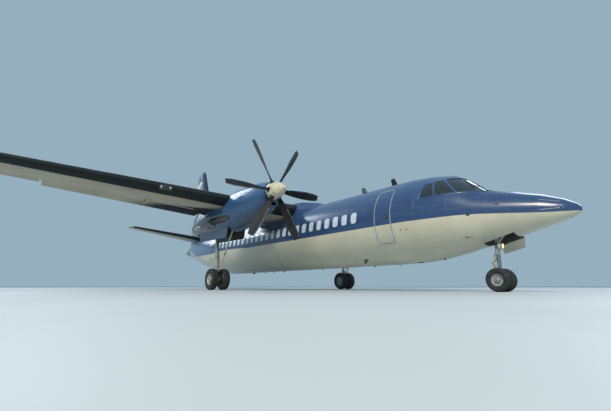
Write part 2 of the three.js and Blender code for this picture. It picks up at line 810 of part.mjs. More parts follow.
// Treads between two side rails on the inner face, level when the airstair is down
const TREADS = { angles: [-20, -5, 10, 25, 40].map(radians), depth: 190, thick: 26, inset: 50 };
const RAIL = { low: radians(-25), high: radians(48), depth: 205, thick: 26 };
const AIRSTAIR_TRAVEL = radians(145);

function airstairSteps() {
  const { airstair } = DOORS;
  const inner = 1350 - DOOR_DEPTH;
  const [from, to] = [airstair.from + TREADS.inset, airstair.to - TREADS.inset];
  const ends = (stations, side, outline) => loft(stations.map((station) => ({
    outline,
    place: (point) => new THREE.Vector3(stationX(station), side * point.x, groundZ(point.y)),
  })));
  const along = new THREE.Vector2(Math.cos(AIRSTAIR_TRAVEL), Math.sin(AIRSTAIR_TRAVEL));
  const across = new THREE.Vector2(-along.y, along.x).multiplyScalar(TREADS.thick);
  const treads = TREADS.angles.map((angle) => {
    const foot = new THREE.Vector2(Math.cos(angle), Math.sin(angle)).multiplyScalar(inner + 12);
    const tip = foot.clone().addScaledVector(along, TREADS.depth);
    return ends([from, to], airstair.side, [foot, tip, tip.clone().add(across), foot.clone().add(across)]);
  });
  const centre = new THREE.Vector2(0, 0);
  const rail = [
    ...arcPoints(centre, inner + 12, RAIL.low, RAIL.high, 6),
    ...arcPoints(centre, 1350 - RAIL.depth, RAIL.high - radians(4), RAIL.low + radians(4), 6),
  ];
  const rails = [[from, from + RAIL.thick], [to - RAIL.thick, to]].map((stations) => (
    ends(stations, airstair.side, rail)));
  return [...treads, ...rails].reduce((all, next) => all.add(next));
}

// The airstair's hinge line runs along the sill, in the skin
function airstairHinge() {
  const { from, to, low } = DOORS.airstair;
  const radius = 1350 - AIRSTAIR_PIN_INSET;
  return new THREE.Vector3(
    stationX((from + to) / 2),
    radius * Math.cos(low) - AIRSTAIR_PIN_INSET * Math.sin(low),
    groundZ(radius * Math.sin(low) + AIRSTAIR_PIN_INSET * Math.cos(low)),
  );
}

// Tail
const tailRings = (stations, grow) => stations.map((y) => foilRing(tailSection(y), grow));
const tailClearance = loft(tailRings([-2500, 0, 2500], 2 * SEAT));
const finClearance = loft([FIN_BASE.height - 200, 4000].map((z) => foilRing(finSection(z), 3 * SEAT)));

function buildTail() {
  const elevator = surfaceNamed('elevator');
  const room = surfaceRoom(elevator);
  const tips = tipSections(tailSection, TAIL_SPAN / 2, 0.5);
  const rings = [
    ...tips.map((section) => ({ ...section, y: -section.y })).reverse(),
    tailSection(0),
    ...tips,
  ];
  const plane = loft(rings.map((section) => foilRing(section)))
    .subtract(room)
    .subtract(mirrored(room));
  put('tailplane', mainBody(plane), 'wing');
  putPair('elevator', controlSurface(elevator), 'wing');

  const rudder = surfaceNamed('rudder');
  const finTips = tipSections(finSection, FIN_TIP.height, 0.6);
  const fin = loft([finSection(FIN_BASE.height), ...finTips].map((section) => foilRing(section)))
    .subtract(surfaceRoom(rudder))
    .subtract(hull(18000, HULL_END, SEAT))
    .subtract(tailClearance);
  put('fin', mainBody(fin), 'blue');
  put('rudder', controlSurface(rudder), 'blue');
  put('dorsal_fin', mainBody(dorsalFin()), 'blue');
}

// The dorsal fin is a low blade with lens-shaped sections
// Columns: height, first station, last station, width
const DORSAL = [
  [1150, 16300, 21600, 190],
  [1500, 17300, 21500, 150],
  [2650, 20780, 21400, 70],
];

function dorsalFin() {
  const steps = 8;
  const rings = DORSAL.map(([height, from, to, width]) => {
    const half = (share) => Math.max(0.06, Math.sin(Math.PI * share ** 0.7)) * (width / 2);
    const side = (sign) => Array.from({ length: steps + 1 }, (_, i) => {
      const share = i / steps;
      return new THREE.Vector2(from + (to - from) * share, sign * half(share));
    });
    return {
      outline: [...side(1), ...side(-1).reverse()],
      place: (point) => new THREE.Vector3(stationX(point.x), point.y, groundZ(height)),
    };
  });
  return loft(rings)
    .subtract(hull(15000, HULL_END, SEAT))
    .subtract(finClearance)
    .subtract(tailClearance);
}

// Nacelles, built to port and mirrored
const COWL_END = 9500;
const COWL_SKIN = 45;
const ENGINE = { from: 8100, to: COWL_END - SEAT, half: 270, low: 640, high: 1290 };
const SHAFT_RADIUS = 75;
const GEAR_BAY = { from: 10000, to: 12850, half: 390, roof: 330, end: 13350, endHalf: 300 };
// The air intake's mouth, below the spinner
const MOUTH = { from: 7500, to: 7760, half: 190, low: 610, high: 770 };
const NACELLE_SKIN = skinStations(NACELLE, [COWL_END], 1000);
const nacelle = (from, to, grow = 0) => (
  ovalBody(NACELLE, NACELLE_SKIN, from, to, { sides: NACELLE_SIDES, side: NACELLE_Y, grow }));

function buildNacelle() {
  const hollow = { sides: HOLLOW_SIDES, side: NACELLE_Y, grow: -COWL_SKIN };
  const room = ovalBody(NACELLE, NACELLE_SKIN, 7700, COWL_END + 1, hollow);
  const shaftHole = bar(
    new THREE.Vector3(stationX(7400), NACELLE_Y, groundZ(PROP_HEIGHT)),
    new THREE.Vector3(stationX(8000), NACELLE_Y, groundZ(PROP_HEIGHT)),
    SHAFT_RADIUS + RUNNING_GAP,
    20,
  );
  const mouthRing = (station) => ({
    outline: arcPoints(new THREE.Vector2(0, 0), 1, 0, 1.875 * Math.PI, 15),
    place: (point) => new THREE.Vector3(
      stationX(station),
      NACELLE_Y + MOUTH.half * point.x,
      groundZ((MOUTH.low + MOUTH.high) / 2 + ((MOUTH.high - MOUTH.low) / 2) * point.y),
    ),
  });
  const cowl = nacelle(NACELLE[0][0], COWL_END - SEAT)
    .subtract(room)
    .subtract(shaftHole)
    .subtract(loft([MOUTH.from, MOUTH.to].map(mouthRing)));
  putPair('engine_cowl', cowl, 'blue');
  const block = cabinBox(
    [ENGINE.from, ENGINE.to],
    [NACELLE_Y - ENGINE.half, NACELLE_Y + ENGINE.half],
    [ENGINE.low, ENGINE.high],
  );
  putPair('engine', block, 'engine');
  const bayBox = (from, to, half) => cabinBox(
    [from, to],
    [NACELLE_Y - half, NACELLE_Y + half],
    [-400, GEAR_BAY.roof],
  );
  const bay = bayBox(GEAR_BAY.from, GEAR_BAY.to, GEAR_BAY.half)
    .add(bayBox(GEAR_BAY.to - 1, GEAR_BAY.end, GEAR_BAY.endHalf));
  const rear = nacelle(COWL_END, NACELLE.at(-1)[0]).subtract(bay).subtract(wingClearance);
  putPair('nacelle', mainBody(rear), 'blue');
}

// Exhaust pipe half sunk in the outboard side of the nacelle, running back and out
const EXHAUST = { station: 9750, side: 440, height: 500, radius: 130, wall: 12, run: [-1200, 220, -60] };

function buildExhaust() {
  const from = new THREE.Vector3(
    stationX(EXHAUST.station),
    NACELLE_Y + EXHAUST.side,
    groundZ(EXHAUST.height),
  );
  const run = new THREE.Vector3(...EXHAUST.run);
  const to = from.clone().add(run);
  const inward = to.clone().addScaledVector(run.clone().normalize(), -380);
  const past = to.clone().addScaledVector(run.clone().normalize(), 30);
  const pipe = bar(from, to, EXHAUST.radius, 14)
    .subtract(bar(inward, past, EXHAUST.radius - EXHAUST.wall, 14))
    .subtract(nacelle(COWL_END, NACELLE.at(-1)[0], SEAT));
  putPair('exhaust', mainBody(pipe), 'steel');
}

// Propellers
// Columns: radius, chord, pitch angle from the disc in degrees, thickness
const BLADE = [
  [280, 140, 58, 56],
  [700, 250, 46, 30],
  [1150, 300, 35, 20],
  [1600, 270, 27, 13],
  [PROP_RADIUS, 190, 24, 9],
];
// Columns: distance ahead of the disc plane, radius
const SPINNER = [
  [-190, 298],
  [-60, 300],
  [120, 276],
  [290, 222],
  [420, 150],
  [500, 72],
  [525, 0],
];
const SPINNER_SIDES = 18;
const SPINNER_HOLLOW = [[-400, 0], [-400, 280], [60, 262], [290, 196], [430, 90], [460, 0]];
const PLATE = { back: -190, front: -170, radius: 280 };
const HUB = { back: -170, front: 130, radius: 130 };

function bladeSolid() {
  const rings = BLADE.map(([radius, chord, pitch, thick]) => {
    const [a, b] = [chord / 2, thick / 2];
    const outline = [[1, 0], [0.3, 1], [-0.7, 0.8], [-1, 0], [-0.7, -0.8], [0.3, -1]]
      .map(([x, y]) => new THREE.Vector2(x * a, y * b));
    const turn = radians(pitch);
    return {
      outline,
      place: (point) => new THREE.Vector3(
        point.x * Math.sin(turn) + point.y * Math.cos(turn),
        point.x * Math.cos(turn) - point.y * Math.sin(turn),
        radius,
      ),
    };
  });
  return loft(rings);
}

const BLADE_ROOT = 62;
const BLADE_HOLE = 94;

function aroundHub(solid) {
  return Array.from({ length: BLADES }, (_, i) => {
    const turn = new THREE.Matrix4().makeRotationX((2 * Math.PI * (i + 0.5)) / BLADES);
    return moved(solid, turn);
  });
}

// A body turned about the propeller's line, from [ahead, radius] pairs
function turnedAhead(profile, sides) {
  const geometry = new THREE.LatheGeometry(
    profile.map(([ahead, radius]) => new THREE.Vector2(radius, ahead)),
    sides,
  );
  return toSolid(geometry.rotateZ(-Math.PI / 2));
}

function buildPropeller() {
  const centre = new THREE.Matrix4()
    .makeTranslation(stationX(PROP_STATION), NACELLE_Y, groundZ(PROP_HEIGHT));
  const origin = (ahead) => new THREE.Vector3(ahead, 0, 0);
  const shaftEnd = PROP_STATION - ENGINE.from + SEAT;
  let hub = bar(origin(HUB.back), origin(HUB.front), HUB.radius, 12)
    .add(bar(origin(PLATE.back), origin(PLATE.front), PLATE.radius, SPINNER_SIDES))
    .add(bar(origin(shaftEnd), origin(HUB.back), SHAFT_RADIUS, 20));
  const root = bar(new THREE.Vector3(0, 0, 90), new THREE.Vector3(0, 0, 360), BLADE_ROOT, 8, 50);
  for (const blade of aroundHub(bladeSolid().add(root))) hub = hub.add(blade);
  putPair('propeller', moved(hub, centre), 'blade');

  const [rim, ...nose] = SPINNER;
  const back = PLATE.front + SEAT;
  const outside = turnedAhead([[back, 0], [back, rim[1]], ...nose], SPINNER_SIDES);
  const inside = turnedAhead(SPINNER_HOLLOW, SPINNER_SIDES);
  let dome = outside.subtract(inside);
  const hole = bar(new THREE.Vector3(0, 0, 100), new THREE.Vector3(0, 0, 400), BLADE_HOLE, 8);
  for (const cut of aroundHub(hole)) dome = dome.subtract(cut);
  putPair('spinner', moved(mainBody(dome), centre), 'spinner');
}

// Wheels: a tyre's round profile and the hub between two of them
function tyreProfile({ radius, width, rim }) {
  const half = width / 2;
  const shoulder = width * 0.3;
  const right = [
    [half * 0.3, radius],
    [half * 0.68, radius - shoulder * 0.16],
    [half * 0.93, radius - shoulder * 0.55],
    [half, rim + (radius - rim) * 0.45],
    [half * 0.8, rim],
  ];
  const left = right.map(([along, out]) => [-along, out]).reverse();
  return [...left, ...right, left[0]];
}

// A wheel's disc inside its tyre, dished on both faces
function rimProfile({ width, rim }) {
  const edge = width * 0.4;
  const right = [
    [edge, rim - SEAT],
    [edge * 0.35, rim * 0.84],
    [edge * 0.35, rim * 0.42],
    [edge, rim * 0.34],
    [edge, 0],
  ];
  const left = right.map(([along, out]) => [-along, out]).reverse();
  return [...left, ...right];
}

const WHEEL_SIDES = 20;

function wheelPair(name, tyre, station, y, axleRadius) {
  const centre = (side) => new THREE.Vector3(stationX(station), y + side * tyre.track, tyre.radius);
  let hubs = bar(centre(-1), centre(1), axleRadius, EYE_SIDES);
  for (const [label, side] of [['left', 1], ['right', -1]]) {
    put(`${name}_tyre_${label}`, turnedAcross(tyreProfile(tyre), centre(side), WHEEL_SIDES), 'rubber');
    hubs = hubs.add(turnedAcross(rimProfile(tyre), centre(side), WHEEL_SIDES));
  }
  put(`${name}_wheels`, hubs, 'gear');
}

// The eye that an axle turns in: flats of the hole stay clear of the axle's corners
const EYE_SIDES = 24;
const eyeRadius = (axle) => (axle + SEAT) / Math.cos(Math.PI / EYE_SIDES);
const MAIN_AXLE = 42;
const NOSE_AXLE = 28;

function eye(centre, axle, outer, width) {
  const half = new THREE.Vector3(0, width / 2, 0);
  const low = centre.clone().sub(half);
  const high = centre.clone().add(half);
  const over = new THREE.Vector3(0, 5, 0);
  return {
    boss: bar(low, high, outer, EYE_SIDES),
    hole: bar(low.clone().sub(over), high.clone().add(over), eyeRadius(axle), EYE_SIDES),
  };
}

// Main gear: a raked leg, held from the front by a strut to a lug on the leg's collar
const MAIN_LEG = {
  head: 11850,
  sleeve: 1300,
  collar: 800,
  radius: 82,
  lower: 64,
  piston: 48,
  ring: 88,
  boss: 78,
  eyeWidth: 150,
};
const STRUT = { radius: 36, foot: 11370, footHeight: 860, head: 10200 };
// Side view of the torque links, as [distance aft of the leg, height above ground] corners
const LINKS = [
  [-20, 900],
  [60, 900],
  [250, 690],
  [250, 640],
  [60, 445],
  [0, 445],
  [0, 505],
  [170, 665],
  [-20, 830],
];

function buildMainGear() {
  for (const [label, y] of [['port', NACELLE_Y], ['starboard', -NACELLE_Y]]) {
    wheelPair(`main_${label}`, MAIN_TYRE, MAIN_STATION, y, MAIN_AXLE);
  }
  const roof = groundZ(GEAR_BAY.roof) - SEAT;
  const axle = MAIN_TYRE.radius;
  const stationOnLeg = (z) => THREE.MathUtils.mapLinear(z, axle, roof, MAIN_STATION, MAIN_LEG.head);
  const at = (z) => new THREE.Vector3(stationX(stationOnLeg(z)), NACELLE_Y, z);
  const aboveRoof = box([-20000, 20000], [0, 9000], [roof, roof + 500]);
  const { boss, hole } = eye(at(axle), MAIN_AXLE, MAIN_LEG.boss, MAIN_LEG.eyeWidth);
  const trunnion = bar(
    at(roof - 130).add(new THREE.Vector3(0, -330, 0)),
    at(roof - 130).add(new THREE.Vector3(0, 330, 0)),
    60,
    12,
  );
  const collar = bar(at(MAIN_LEG.collar), at(MAIN_LEG.collar + 120), MAIN_LEG.ring, 14);
  const lug = sideCut(
    [
      [STRUT.foot - 50, STRUT.footHeight - 45 - AXIS_HEIGHT],
      [STRUT.foot - 50, STRUT.footHeight + 20 - AXIS_HEIGHT],
      [MAIN_STATION + 40, STRUT.footHeight + 20 - AXIS_HEIGHT],
      [MAIN_STATION + 40, MAIN_LEG.collar + 5 - AXIS_HEIGHT],
    ],
    NACELLE_Y + 32,
    NACELLE_Y - 32,
  );
  const links = sideCut(
    LINKS.map(([aft, height]) => [stationOnLeg(height) + aft, height - AXIS_HEIGHT]),
    NACELLE_Y + 42,
    NACELLE_Y - 42,
  );
  const body = bar(at(MAIN_LEG.sleeve), at(roof + 60), MAIN_LEG.radius, 14)
    .add(bar(at(MAIN_LEG.collar), at(MAIN_LEG.sleeve + 5), MAIN_LEG.lower, 14))
    .add(bar(at(axle), at(MAIN_LEG.collar + 5), MAIN_LEG.piston, 14))
    .add(trunnion)
    .add(collar)
    .add(lug)
    .add(links)
    .add(boss)
    .subtract(hole)
    .subtract(aboveRoof);
  putPair('main_leg', body, 'gear');

  const foot = new THREE.Vector3(stationX(STRUT.foot), NACELLE_Y, STRUT.footHeight + 20);
  const head = new THREE.Vector3(stationX(STRUT.head), NACELLE_Y, roof + 60);
  const strut = bar(foot, head, STRUT.radius, 12)
    .subtract(box(
      [stationX(STRUT.foot + 400), stationX(STRUT.foot - 400)],
      [NACELLE_Y - 200, NACELLE_Y + 200],
      [0, STRUT.footHeight + 20 + SEAT],
    ))
    .subtract(aboveRoof);
  putPair('drag_strut', mainBody(strut), 'gear');
}

// Nose gear: a leg with a lamp and a brace, and the steered fork below it
const NOSE_LEG = { radius: 66, low: 1100, fork: 50, boss: 52, eyeWidth: 90, brace: 480, braceFoot: 1230 };
const LAMP = { station: 1850, side: -200, height: 1165, radius: 75, length: 90 };
// Side view of its torque links, as for the main gear
const NOSE_LINKS = [
  [-20, 1085],
  [50, 1085],
  [190, 790],
  [190, 740],
  [50, 400],
  [0, 400],
  [0, 460],
  [120, 765],
  [-20, 1010],
];

function buildNoseGear() {
  wheelPair('nose', NOSE_TYRE, NOSE_STATION, 0, NOSE_AXLE);
  const at = (z) => new THREE.Vector3(stationX(NOSE_STATION), 0, z);
  const roof = groundZ(NOSE_BAY.roof) - SEAT;
  const braceHead = new THREE.Vector3(stationX(NOSE_STATION - NOSE_LEG.brace), 0, roof + 40);
  const brace = bar(at(NOSE_LEG.braceFoot), braceHead, 28, 12)
    .subtract(box([-20000, 20000], [-900, 900], [roof, roof + 400]));
  const lampAt = (station) => new THREE.Vector3(stationX(station), LAMP.side, LAMP.height);
  const lamp = bar(lampAt(LAMP.station), lampAt(LAMP.station - LAMP.length), LAMP.radius, 14);
  const arm = bar(lampAt(LAMP.station - 20), at(LAMP.height), 22, 10);
  const leg = bar(at(NOSE_LEG.low), at(roof), NOSE_LEG.radius, 14)
    .add(brace)
    .add(lamp)
    .add(arm);
  put('nose_leg', leg, 'gear');

  const { boss, hole } = eye(at(NOSE_TYRE.radius), NOSE_AXLE, NOSE_LEG.boss, NOSE_LEG.eyeWidth);
  const links = sideCut(
    NOSE_LINKS.map(([aft, height]) => [NOSE_STATION + aft, height - AXIS_HEIGHT]),
    30,
    -30,
  );
  const fork = bar(at(NOSE_TYRE.radius), at(NOSE_LEG.low - SEAT), NOSE_LEG.fork, 14)
    .add(bar(at(NOSE_LEG.low - 90), at(NOSE_LEG.low - SEAT), NOSE_LEG.radius, 14))
    .add(links)
    .add(boss)
    .subtract(hole);
  put('nose_fork', fork, 'gear');
}

// Bay doors hang beside the open bays
const BAY_DOOR = { thick: 22 };
const NACELLE_DOOR = { aft: 40, fore: 60, low: -230, rear: -190 };
// The nose bay's leaf hangs from a sloping line along the bay's port edge, swung out
const NOSE_DOOR = { from: 1440, to: 2000, line: [-790, -940], depth: 330, swing: radians(45) };

function buildBayDoors() {
  const { from, to, half, roof } = GEAR_BAY;
  const top = roof - 60;
  const hang = (side) => sideCut(
    [
      [from + NACELLE_DOOR.aft, top],
      [to - NACELLE_DOOR.fore, top],
      [to - 3 * NACELLE_DOOR.fore, NACELLE_DOOR.rear],
      [from + 4 * NACELLE_DOOR.aft, NACELLE_DOOR.low],
    ],
    side + BAY_DOOR.thick,
    side,
  );
  putPair('bay_door_outer', hang(NACELLE_Y + half - BAY_DOOR.thick - SEAT), 'blue');
  putPair('bay_door_inner', hang(NACELLE_Y - half + SEAT), 'blue');

  const face = NOSE_BAY.half - SEAT;
  const plate = (corners) => sideCut(corners, face, face - BAY_DOOR.thick);
  const [front, rear] = [NOSE_DOOR.from, NOSE_DOOR.to];
  const [high, low] = NOSE_DOOR.line;
  const flange = plate([[front, high + 200], [rear, low + 200], [rear, low - 10], [front, high - 10]]);
  const leaf = plate([
    [front - 40, high + 8],
    [rear + 40, low + 8],
    [rear, low - NOSE_DOOR.depth],
    [front + 20, high - NOSE_DOOR.depth],
  ]);
  const hinge = [[front, high], [rear, low]].map(([station, height]) => (
    new THREE.Vector3(stationX(station), face - BAY_DOOR.thick / 2, groundZ(height))));
  const axis = hinge[0].clone().sub(hinge[1]).normalize();
  put('nose_bay_door', flange.add(turnedAbout(leaf, hinge[1], axis, NOSE_DOOR.swing)), 'belly');
}

buildWing();
buildFuselage();
buildDoors();
buildTail();
buildNacelle();
buildExhaust();
buildPropeller();
buildMainGear();
buildNoseGear();
buildBayDoors();

export default aircraft;
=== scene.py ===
# %% [markdown]
# # A twin-turboprop airliner with its gear down
# The aircraft arrives as 59 plain solids that already have the right sizes and joints. This lesson
# dresses them: paint, dirt, rubber and glass on the solids, and small pieces such as windows, tyres,
# aerials and lamps laid on top. Nothing that came from the workshop is moved or reshaped, because the
# same solids are used to move the aircraft.

# %% Load the frame
import math

import bmesh
import bpy
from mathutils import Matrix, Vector
from mathutils.bvhtree import BVHTree


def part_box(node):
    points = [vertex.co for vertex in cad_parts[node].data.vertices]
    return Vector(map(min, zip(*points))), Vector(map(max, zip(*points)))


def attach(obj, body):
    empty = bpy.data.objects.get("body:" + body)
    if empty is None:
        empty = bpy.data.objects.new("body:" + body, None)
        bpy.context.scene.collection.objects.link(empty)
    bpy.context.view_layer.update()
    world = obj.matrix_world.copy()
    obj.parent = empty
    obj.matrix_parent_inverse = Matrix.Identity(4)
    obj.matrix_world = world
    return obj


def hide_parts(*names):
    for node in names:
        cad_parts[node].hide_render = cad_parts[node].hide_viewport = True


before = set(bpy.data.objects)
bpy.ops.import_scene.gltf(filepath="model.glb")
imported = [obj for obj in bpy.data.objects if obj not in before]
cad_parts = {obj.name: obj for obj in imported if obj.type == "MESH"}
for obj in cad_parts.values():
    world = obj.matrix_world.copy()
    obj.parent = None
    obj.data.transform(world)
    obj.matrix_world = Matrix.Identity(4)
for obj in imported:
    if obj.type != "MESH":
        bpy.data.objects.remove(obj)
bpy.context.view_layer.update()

# %% [markdown]
# ## Drawing numbers
# Aircraft drawings measure along the fuselage in stations behind the nose, and up or down from the
# fuselage axis. Using the same numbers here keeps every window, aerial and stripe where the drawing
# has it. One function turns them into the scene's metres.

# %% Stations and heights
NOSE_X = 12.625
AXIS_Z = 2.2
HULL_RADIUS = 1.35
PORT, STARBOARD = 1, -1
SIDE_NAMES = {PORT: "port", STARBOARD: "starboard"}
X, Y, Z = Vector((1, 0, 0)), Vector((0, 1, 0)), Vector((0, 0, 1))


def at_station(station, across=0.0, height=0.0):
    """A point from its station, its distance to port and its height above the axis."""
    return Vector((NOSE_X - station, across, AXIS_Z + height))


print("station 1 is at x =", round(at_station(1).x, 3))

# %% [markdown]
# ## Shader maths that reads like arithmetic
# A procedural finish is a sum of masks and colours. Placing Math nodes one by one hides that sum, so a
# small class wraps a node's output and overloads the operators. Numbers give Math nodes, colours go
# through Mix nodes and vectors through Vector Math nodes, since a Math node would turn a colour grey.

# %% Wires
class Wire:
    """One output of a node. An operator on it adds the node that does the sum."""

    def __init__(self, paint, socket):
        self.paint = paint
        self.socket = socket

    def __add__(self, other):
        return self.paint.combine("ADD", self, other)

    def __sub__(self, other):
        return self.paint.combine("SUBTRACT", self, other)

    def __rsub__(self, other):
        return self.paint.combine("SUBTRACT", other, self)

    def __mul__(self, other):
        return self.paint.combine("MULTIPLY", self, other)

    def __truediv__(self, other):
        return self.paint.combine("DIVIDE", self, other)

    def __pow__(self, other):
        return self.paint.combine("POWER", self, other)

    def __abs__(self):
        return self.paint.node("ShaderNodeMath", {"operation": "ABSOLUTE"}, {0: self})

    __radd__ = __add__
    __rmul__ = __mul__


# %% [markdown]
# A paint is one material. Its `node` method takes a node's type, its settings and the values or wires
# of its sockets, and gives back a wire. The paint also knows where each point lies on the drawing,
# through the object coordinates: these ride with a piece, so a stripe stays on its door or flap.

# %% Paints
class Paint:
    """A material for one of the aircraft's finishes."""

    def __init__(self, name):
        self.material = bpy.data.materials.new(name)
        self.material.use_nodes = True
        self.tree = self.material.node_tree
        self.tree.nodes.clear()
        self.place = self.node("ShaderNodeTexCoord", out="Object")
        self.facing = self.node("ShaderNodeTexCoord", out="Normal")
        x, self.across, z = self.axes(self.place)
        self.station = NOSE_X - x
        self.height = z - AXIS_Z
        self.span = abs(self.across)

    def node(self, kind, settings=None, values=None, out=0):
        made = self.tree.nodes.new(kind)
        for name, value in (settings or {}).items():
            setattr(made, name, value)
        for name, value in (values or {}).items():
            socket = made.inputs[name]
            if isinstance(value, Wire):
                self.tree.links.new(value.socket, socket)
            elif hasattr(socket.default_value, "__len__"):
                parts = list(value) if hasattr(value, "__len__") else [value] * 3
                socket.default_value = (parts + [1.0])[: len(socket.default_value)]
            else:
                socket.default_value = value
        return Wire(self, made.outputs[out])

    def combine(self, operation, first, second):
        kinds = {wire.socket.type for wire in (first, second) if isinstance(wire, Wire)}
        if "RGBA" in kinds:
            settings = {"data_type": "RGBA", "blend_type": operation}
            return self.node("ShaderNodeMix", settings, {0: 1.0, 6: first, 7: second}, out=2)
        kind = "ShaderNodeVectorMath" if "VECTOR" in kinds else "ShaderNodeMath"
        return self.node(kind, {"operation": operation}, {0: first, 1: second})

    def axes(self, vector):
        """The three numbers of a vector, as wires."""
        whole = self.node("ShaderNodeSeparateXYZ", values={0: vector})
        return [Wire(self, socket) for socket in whole.socket.node.outputs]

    def rise(self, value, low, high):
        """0 below low, 1 above high, smooth between them."""
        settings = {"interpolation_type": "SMOOTHSTEP"}
        return self.node("ShaderNodeMapRange", settings, {0: value, 1: low, 2: high})

    def between(self, value, low, high, soft):
        """1 from low to high, with soft edges."""
        return self.rise(value, low, low + soft) * (1 - self.rise(value, high - soft, high))

    def off_grid(self, value, pitch):
        """How far a value is from the nearest multiple of a pitch."""
        return self.node("ShaderNodeMath", {"operation": "PINGPONG"}, {0: value, 1: pitch / 2})

    def every(self, value, pitch, width):
        """Thin lines at each multiple of a pitch."""
        return 1 - self.rise(self.off_grid(value, pitch), width * 0.5, width)

    def cloud(self, size, detail=3.0, stretch=(1, 1, 1), shift=0.0):
        """Soft noise with blots of a size in metres, stretched along the axes."""
        scale = [1 / (size * part) for part in stretch]
        place = {"Vector": self.place, "Location": [shift] * 3, "Scale": scale}
        moved = self.node("ShaderNodeMapping", {"vector_type": "POINT"}, place)
        values = {"Vector": moved, "Scale": 1.0, "Detail": detail, "Roughness": 0.55}
        return self.node("ShaderNodeTexNoise", values=values)

    def mix(self, mask, under, over):
        """Shows over where the mask is 1, and under where it is 0."""
        return self.node("ShaderNodeMix", {"data_type": "RGBA"}, {0: mask, 6: under, 7: over}, out=2)

    def relief(self, height, depth):
        """A bump of so many metres, for seams and rivets too small to model."""
        values = {"Height": height, "Distance": depth, "Strength": 1.0}
        return self.node("ShaderNodeBump", values=values, out="Normal")

    def surface(self, colour, roughness, relief=None, **fixed):
        """Ends the material. Fixed values go straight onto the shader's own sockets."""
        values = {"Base Color": colour, "Roughness": roughness}
        if relief is not None:
            values["Normal"] = relief
        values.update({name.replace("_", " "): value for name, value in fixed.items()})
        shader = self.node("ShaderNodeBsdfPrincipled", values=values)
        output = self.tree.nodes.new("ShaderNodeOutputMaterial")
        self.tree.links.new(shader.socket, output.inputs["Surface"])
        return self.material


def tint(code):
    """A colour from its six-digit screen code, as the linear numbers that shaders use."""
    parts = [int(code[i : i + 2], 16) / 255 for i in (0, 2, 4)]
    return [p / 12.92 if p <= 0.04045 else ((p + 0.055) / 1.055) ** 2.4 for p in parts] + [1.0]

# %% [markdown]
# ## Smooth skins
# The solids arrive as flat facets, each with its own corners. Real skins are rolled sheet, so light
# should slide over them. Changing the meshes is not allowed, and not needed: a small Geometry Nodes
# modifier welds the corners for the render and smooths every edge flatter than 32 degrees. Sharper
# edges, such as trailing edges and door gaps, stay crisp.

# %% A smoothing modifier
SMOOTH_ANGLE = math.radians(32)
WELD_DISTANCE = 0.00005


def rolled_sheet_nodes():
    """A node group that welds the corners and smooths all but the sharp edges."""
    group = bpy.data.node_groups.new("rolled_sheet", "GeometryNodeTree")
    group.interface.new_socket("Geometry", in_out="INPUT", socket_type="NodeSocketGeometry")
    group.interface.new_socket("Geometry", in_out="OUTPUT", socket_type="NodeSocketGeometry")
    add, link = group.nodes.new, group.links.new
    start, end = add("NodeGroupInput"), add("NodeGroupOutput")
    weld, normal = add("GeometryNodeMergeByDistance"), add("GeometryNodeSetMeshNormal")
    weld.inputs["Distance"].default_value = WELD_DISTANCE
    angle, flat = add("GeometryNodeInputMeshEdgeAngle"), add("FunctionNodeCompare")
    flat.data_type, flat.operation = "FLOAT", "GREATER_THAN"
    flat.inputs[1].default_value = SMOOTH_ANGLE
    normal.mode = "SHARPNESS"
    link(start.outputs[0], weld.inputs["Geometry"])
    link(weld.outputs[0], normal.inputs["Mesh"])
    link(angle.outputs["Unsigned Angle"], flat.inputs[0])
    link(flat.outputs[0], normal.inputs["Edge Sharpness"])
    link(normal.outputs[0], end.inputs[0])
    return group


ROLLED_SHEET = rolled_sheet_nodes()
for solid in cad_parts.values():
    solid.modifiers.new("rolled_sheet", "NODES").node_group = ROLLED_SHEET
print("smoothed", len(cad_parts), "solids")

# %% [markdown]
# ## Fuselage paint
# The hull is cream below and dark blue above, with the border a little under the windows from nose to
# tail. Up close the cream is never clean: grime gathers along the keel and runs aft in streaks, skin
# sheets meet in lap joints with a row of rivets on each side, and drains leave trails. All of it is
# worked out from station, height and angle round the hull, so it fits every panel and door.

# %% Fuselage colours
CREAM, CREAM_SHADE, CREAM_GRIME = tint("c6c3b0"), tint("b4b09b"), tint("7f7863")
NAVY, BLUE, PALE_BLUE = tint("29436b"), tint("3b5d8c"), tint("7090b5")
PAINT_BORDER = -0.2
TRAILS = [(3.47, -0.1, 0.3), (4.2, -0.14, 0.7), (6.0, -0.68, 0.7), (6.15, -0.08, 0.5), (7.67, -0.06, 0.3),
          (9.06, -0.04, 0.3), (11.88, -0.05, 0.4), (12.71, -0.06, 0.35), (13.59, -0.02, 0.35),
          (15.02, 0.11, 0.4), (18.4, 0.6, 0.5), (19.9, 0.08, 0.5), (19.9, -0.73, 0.35)]


def hull_grime(paint, blots, streaks):
    """Dirt along the keel, dust under the nose, and a trail of some length behind each drain or outlet."""
    keel = 1 - paint.rise(paint.height, -1.35, -0.5)
    nose_dust = (1 - paint.rise(paint.station, 0.3, 5.0)) * (1 - paint.rise(paint.height, -1.0, -0.35))
    grime = keel * paint.rise(streaks, 0.42, 0.75) * 0.3 + nose_dust * (0.12 + streaks * 0.2)
    grime = grime + paint.rise(blots, 0.5, 0.8) * keel * 0.12
    for station, across, length in TRAILS:
        wake = paint.between(paint.station, station, station + length, 0.1)
        wake = wake * paint.between(paint.across, across - 0.05, across + 0.05, 0.045)
        grime = grime + wake * keel * 0.55
    return grime


def hull_cream(paint, blots, streaks, grime):
    """Cream that is worn in blots and dirty where the grime is, with soot under the tail."""
    worn = paint.mix(paint.rise(blots, 0.35, 0.7) * 0.6, CREAM, CREAM_SHADE)
    cream = paint.mix(paint.rise(grime, 0.0, 1.1), worn, CREAM_GRIME)
    low = 1 - paint.rise(paint.height, 0.35, 0.8)
    tail_soot = paint.rise(paint.station + streaks * 0.6, 22.9, 23.7) * low
    return paint.mix(tail_soot * 0.85, cream, tint("3a3029"))


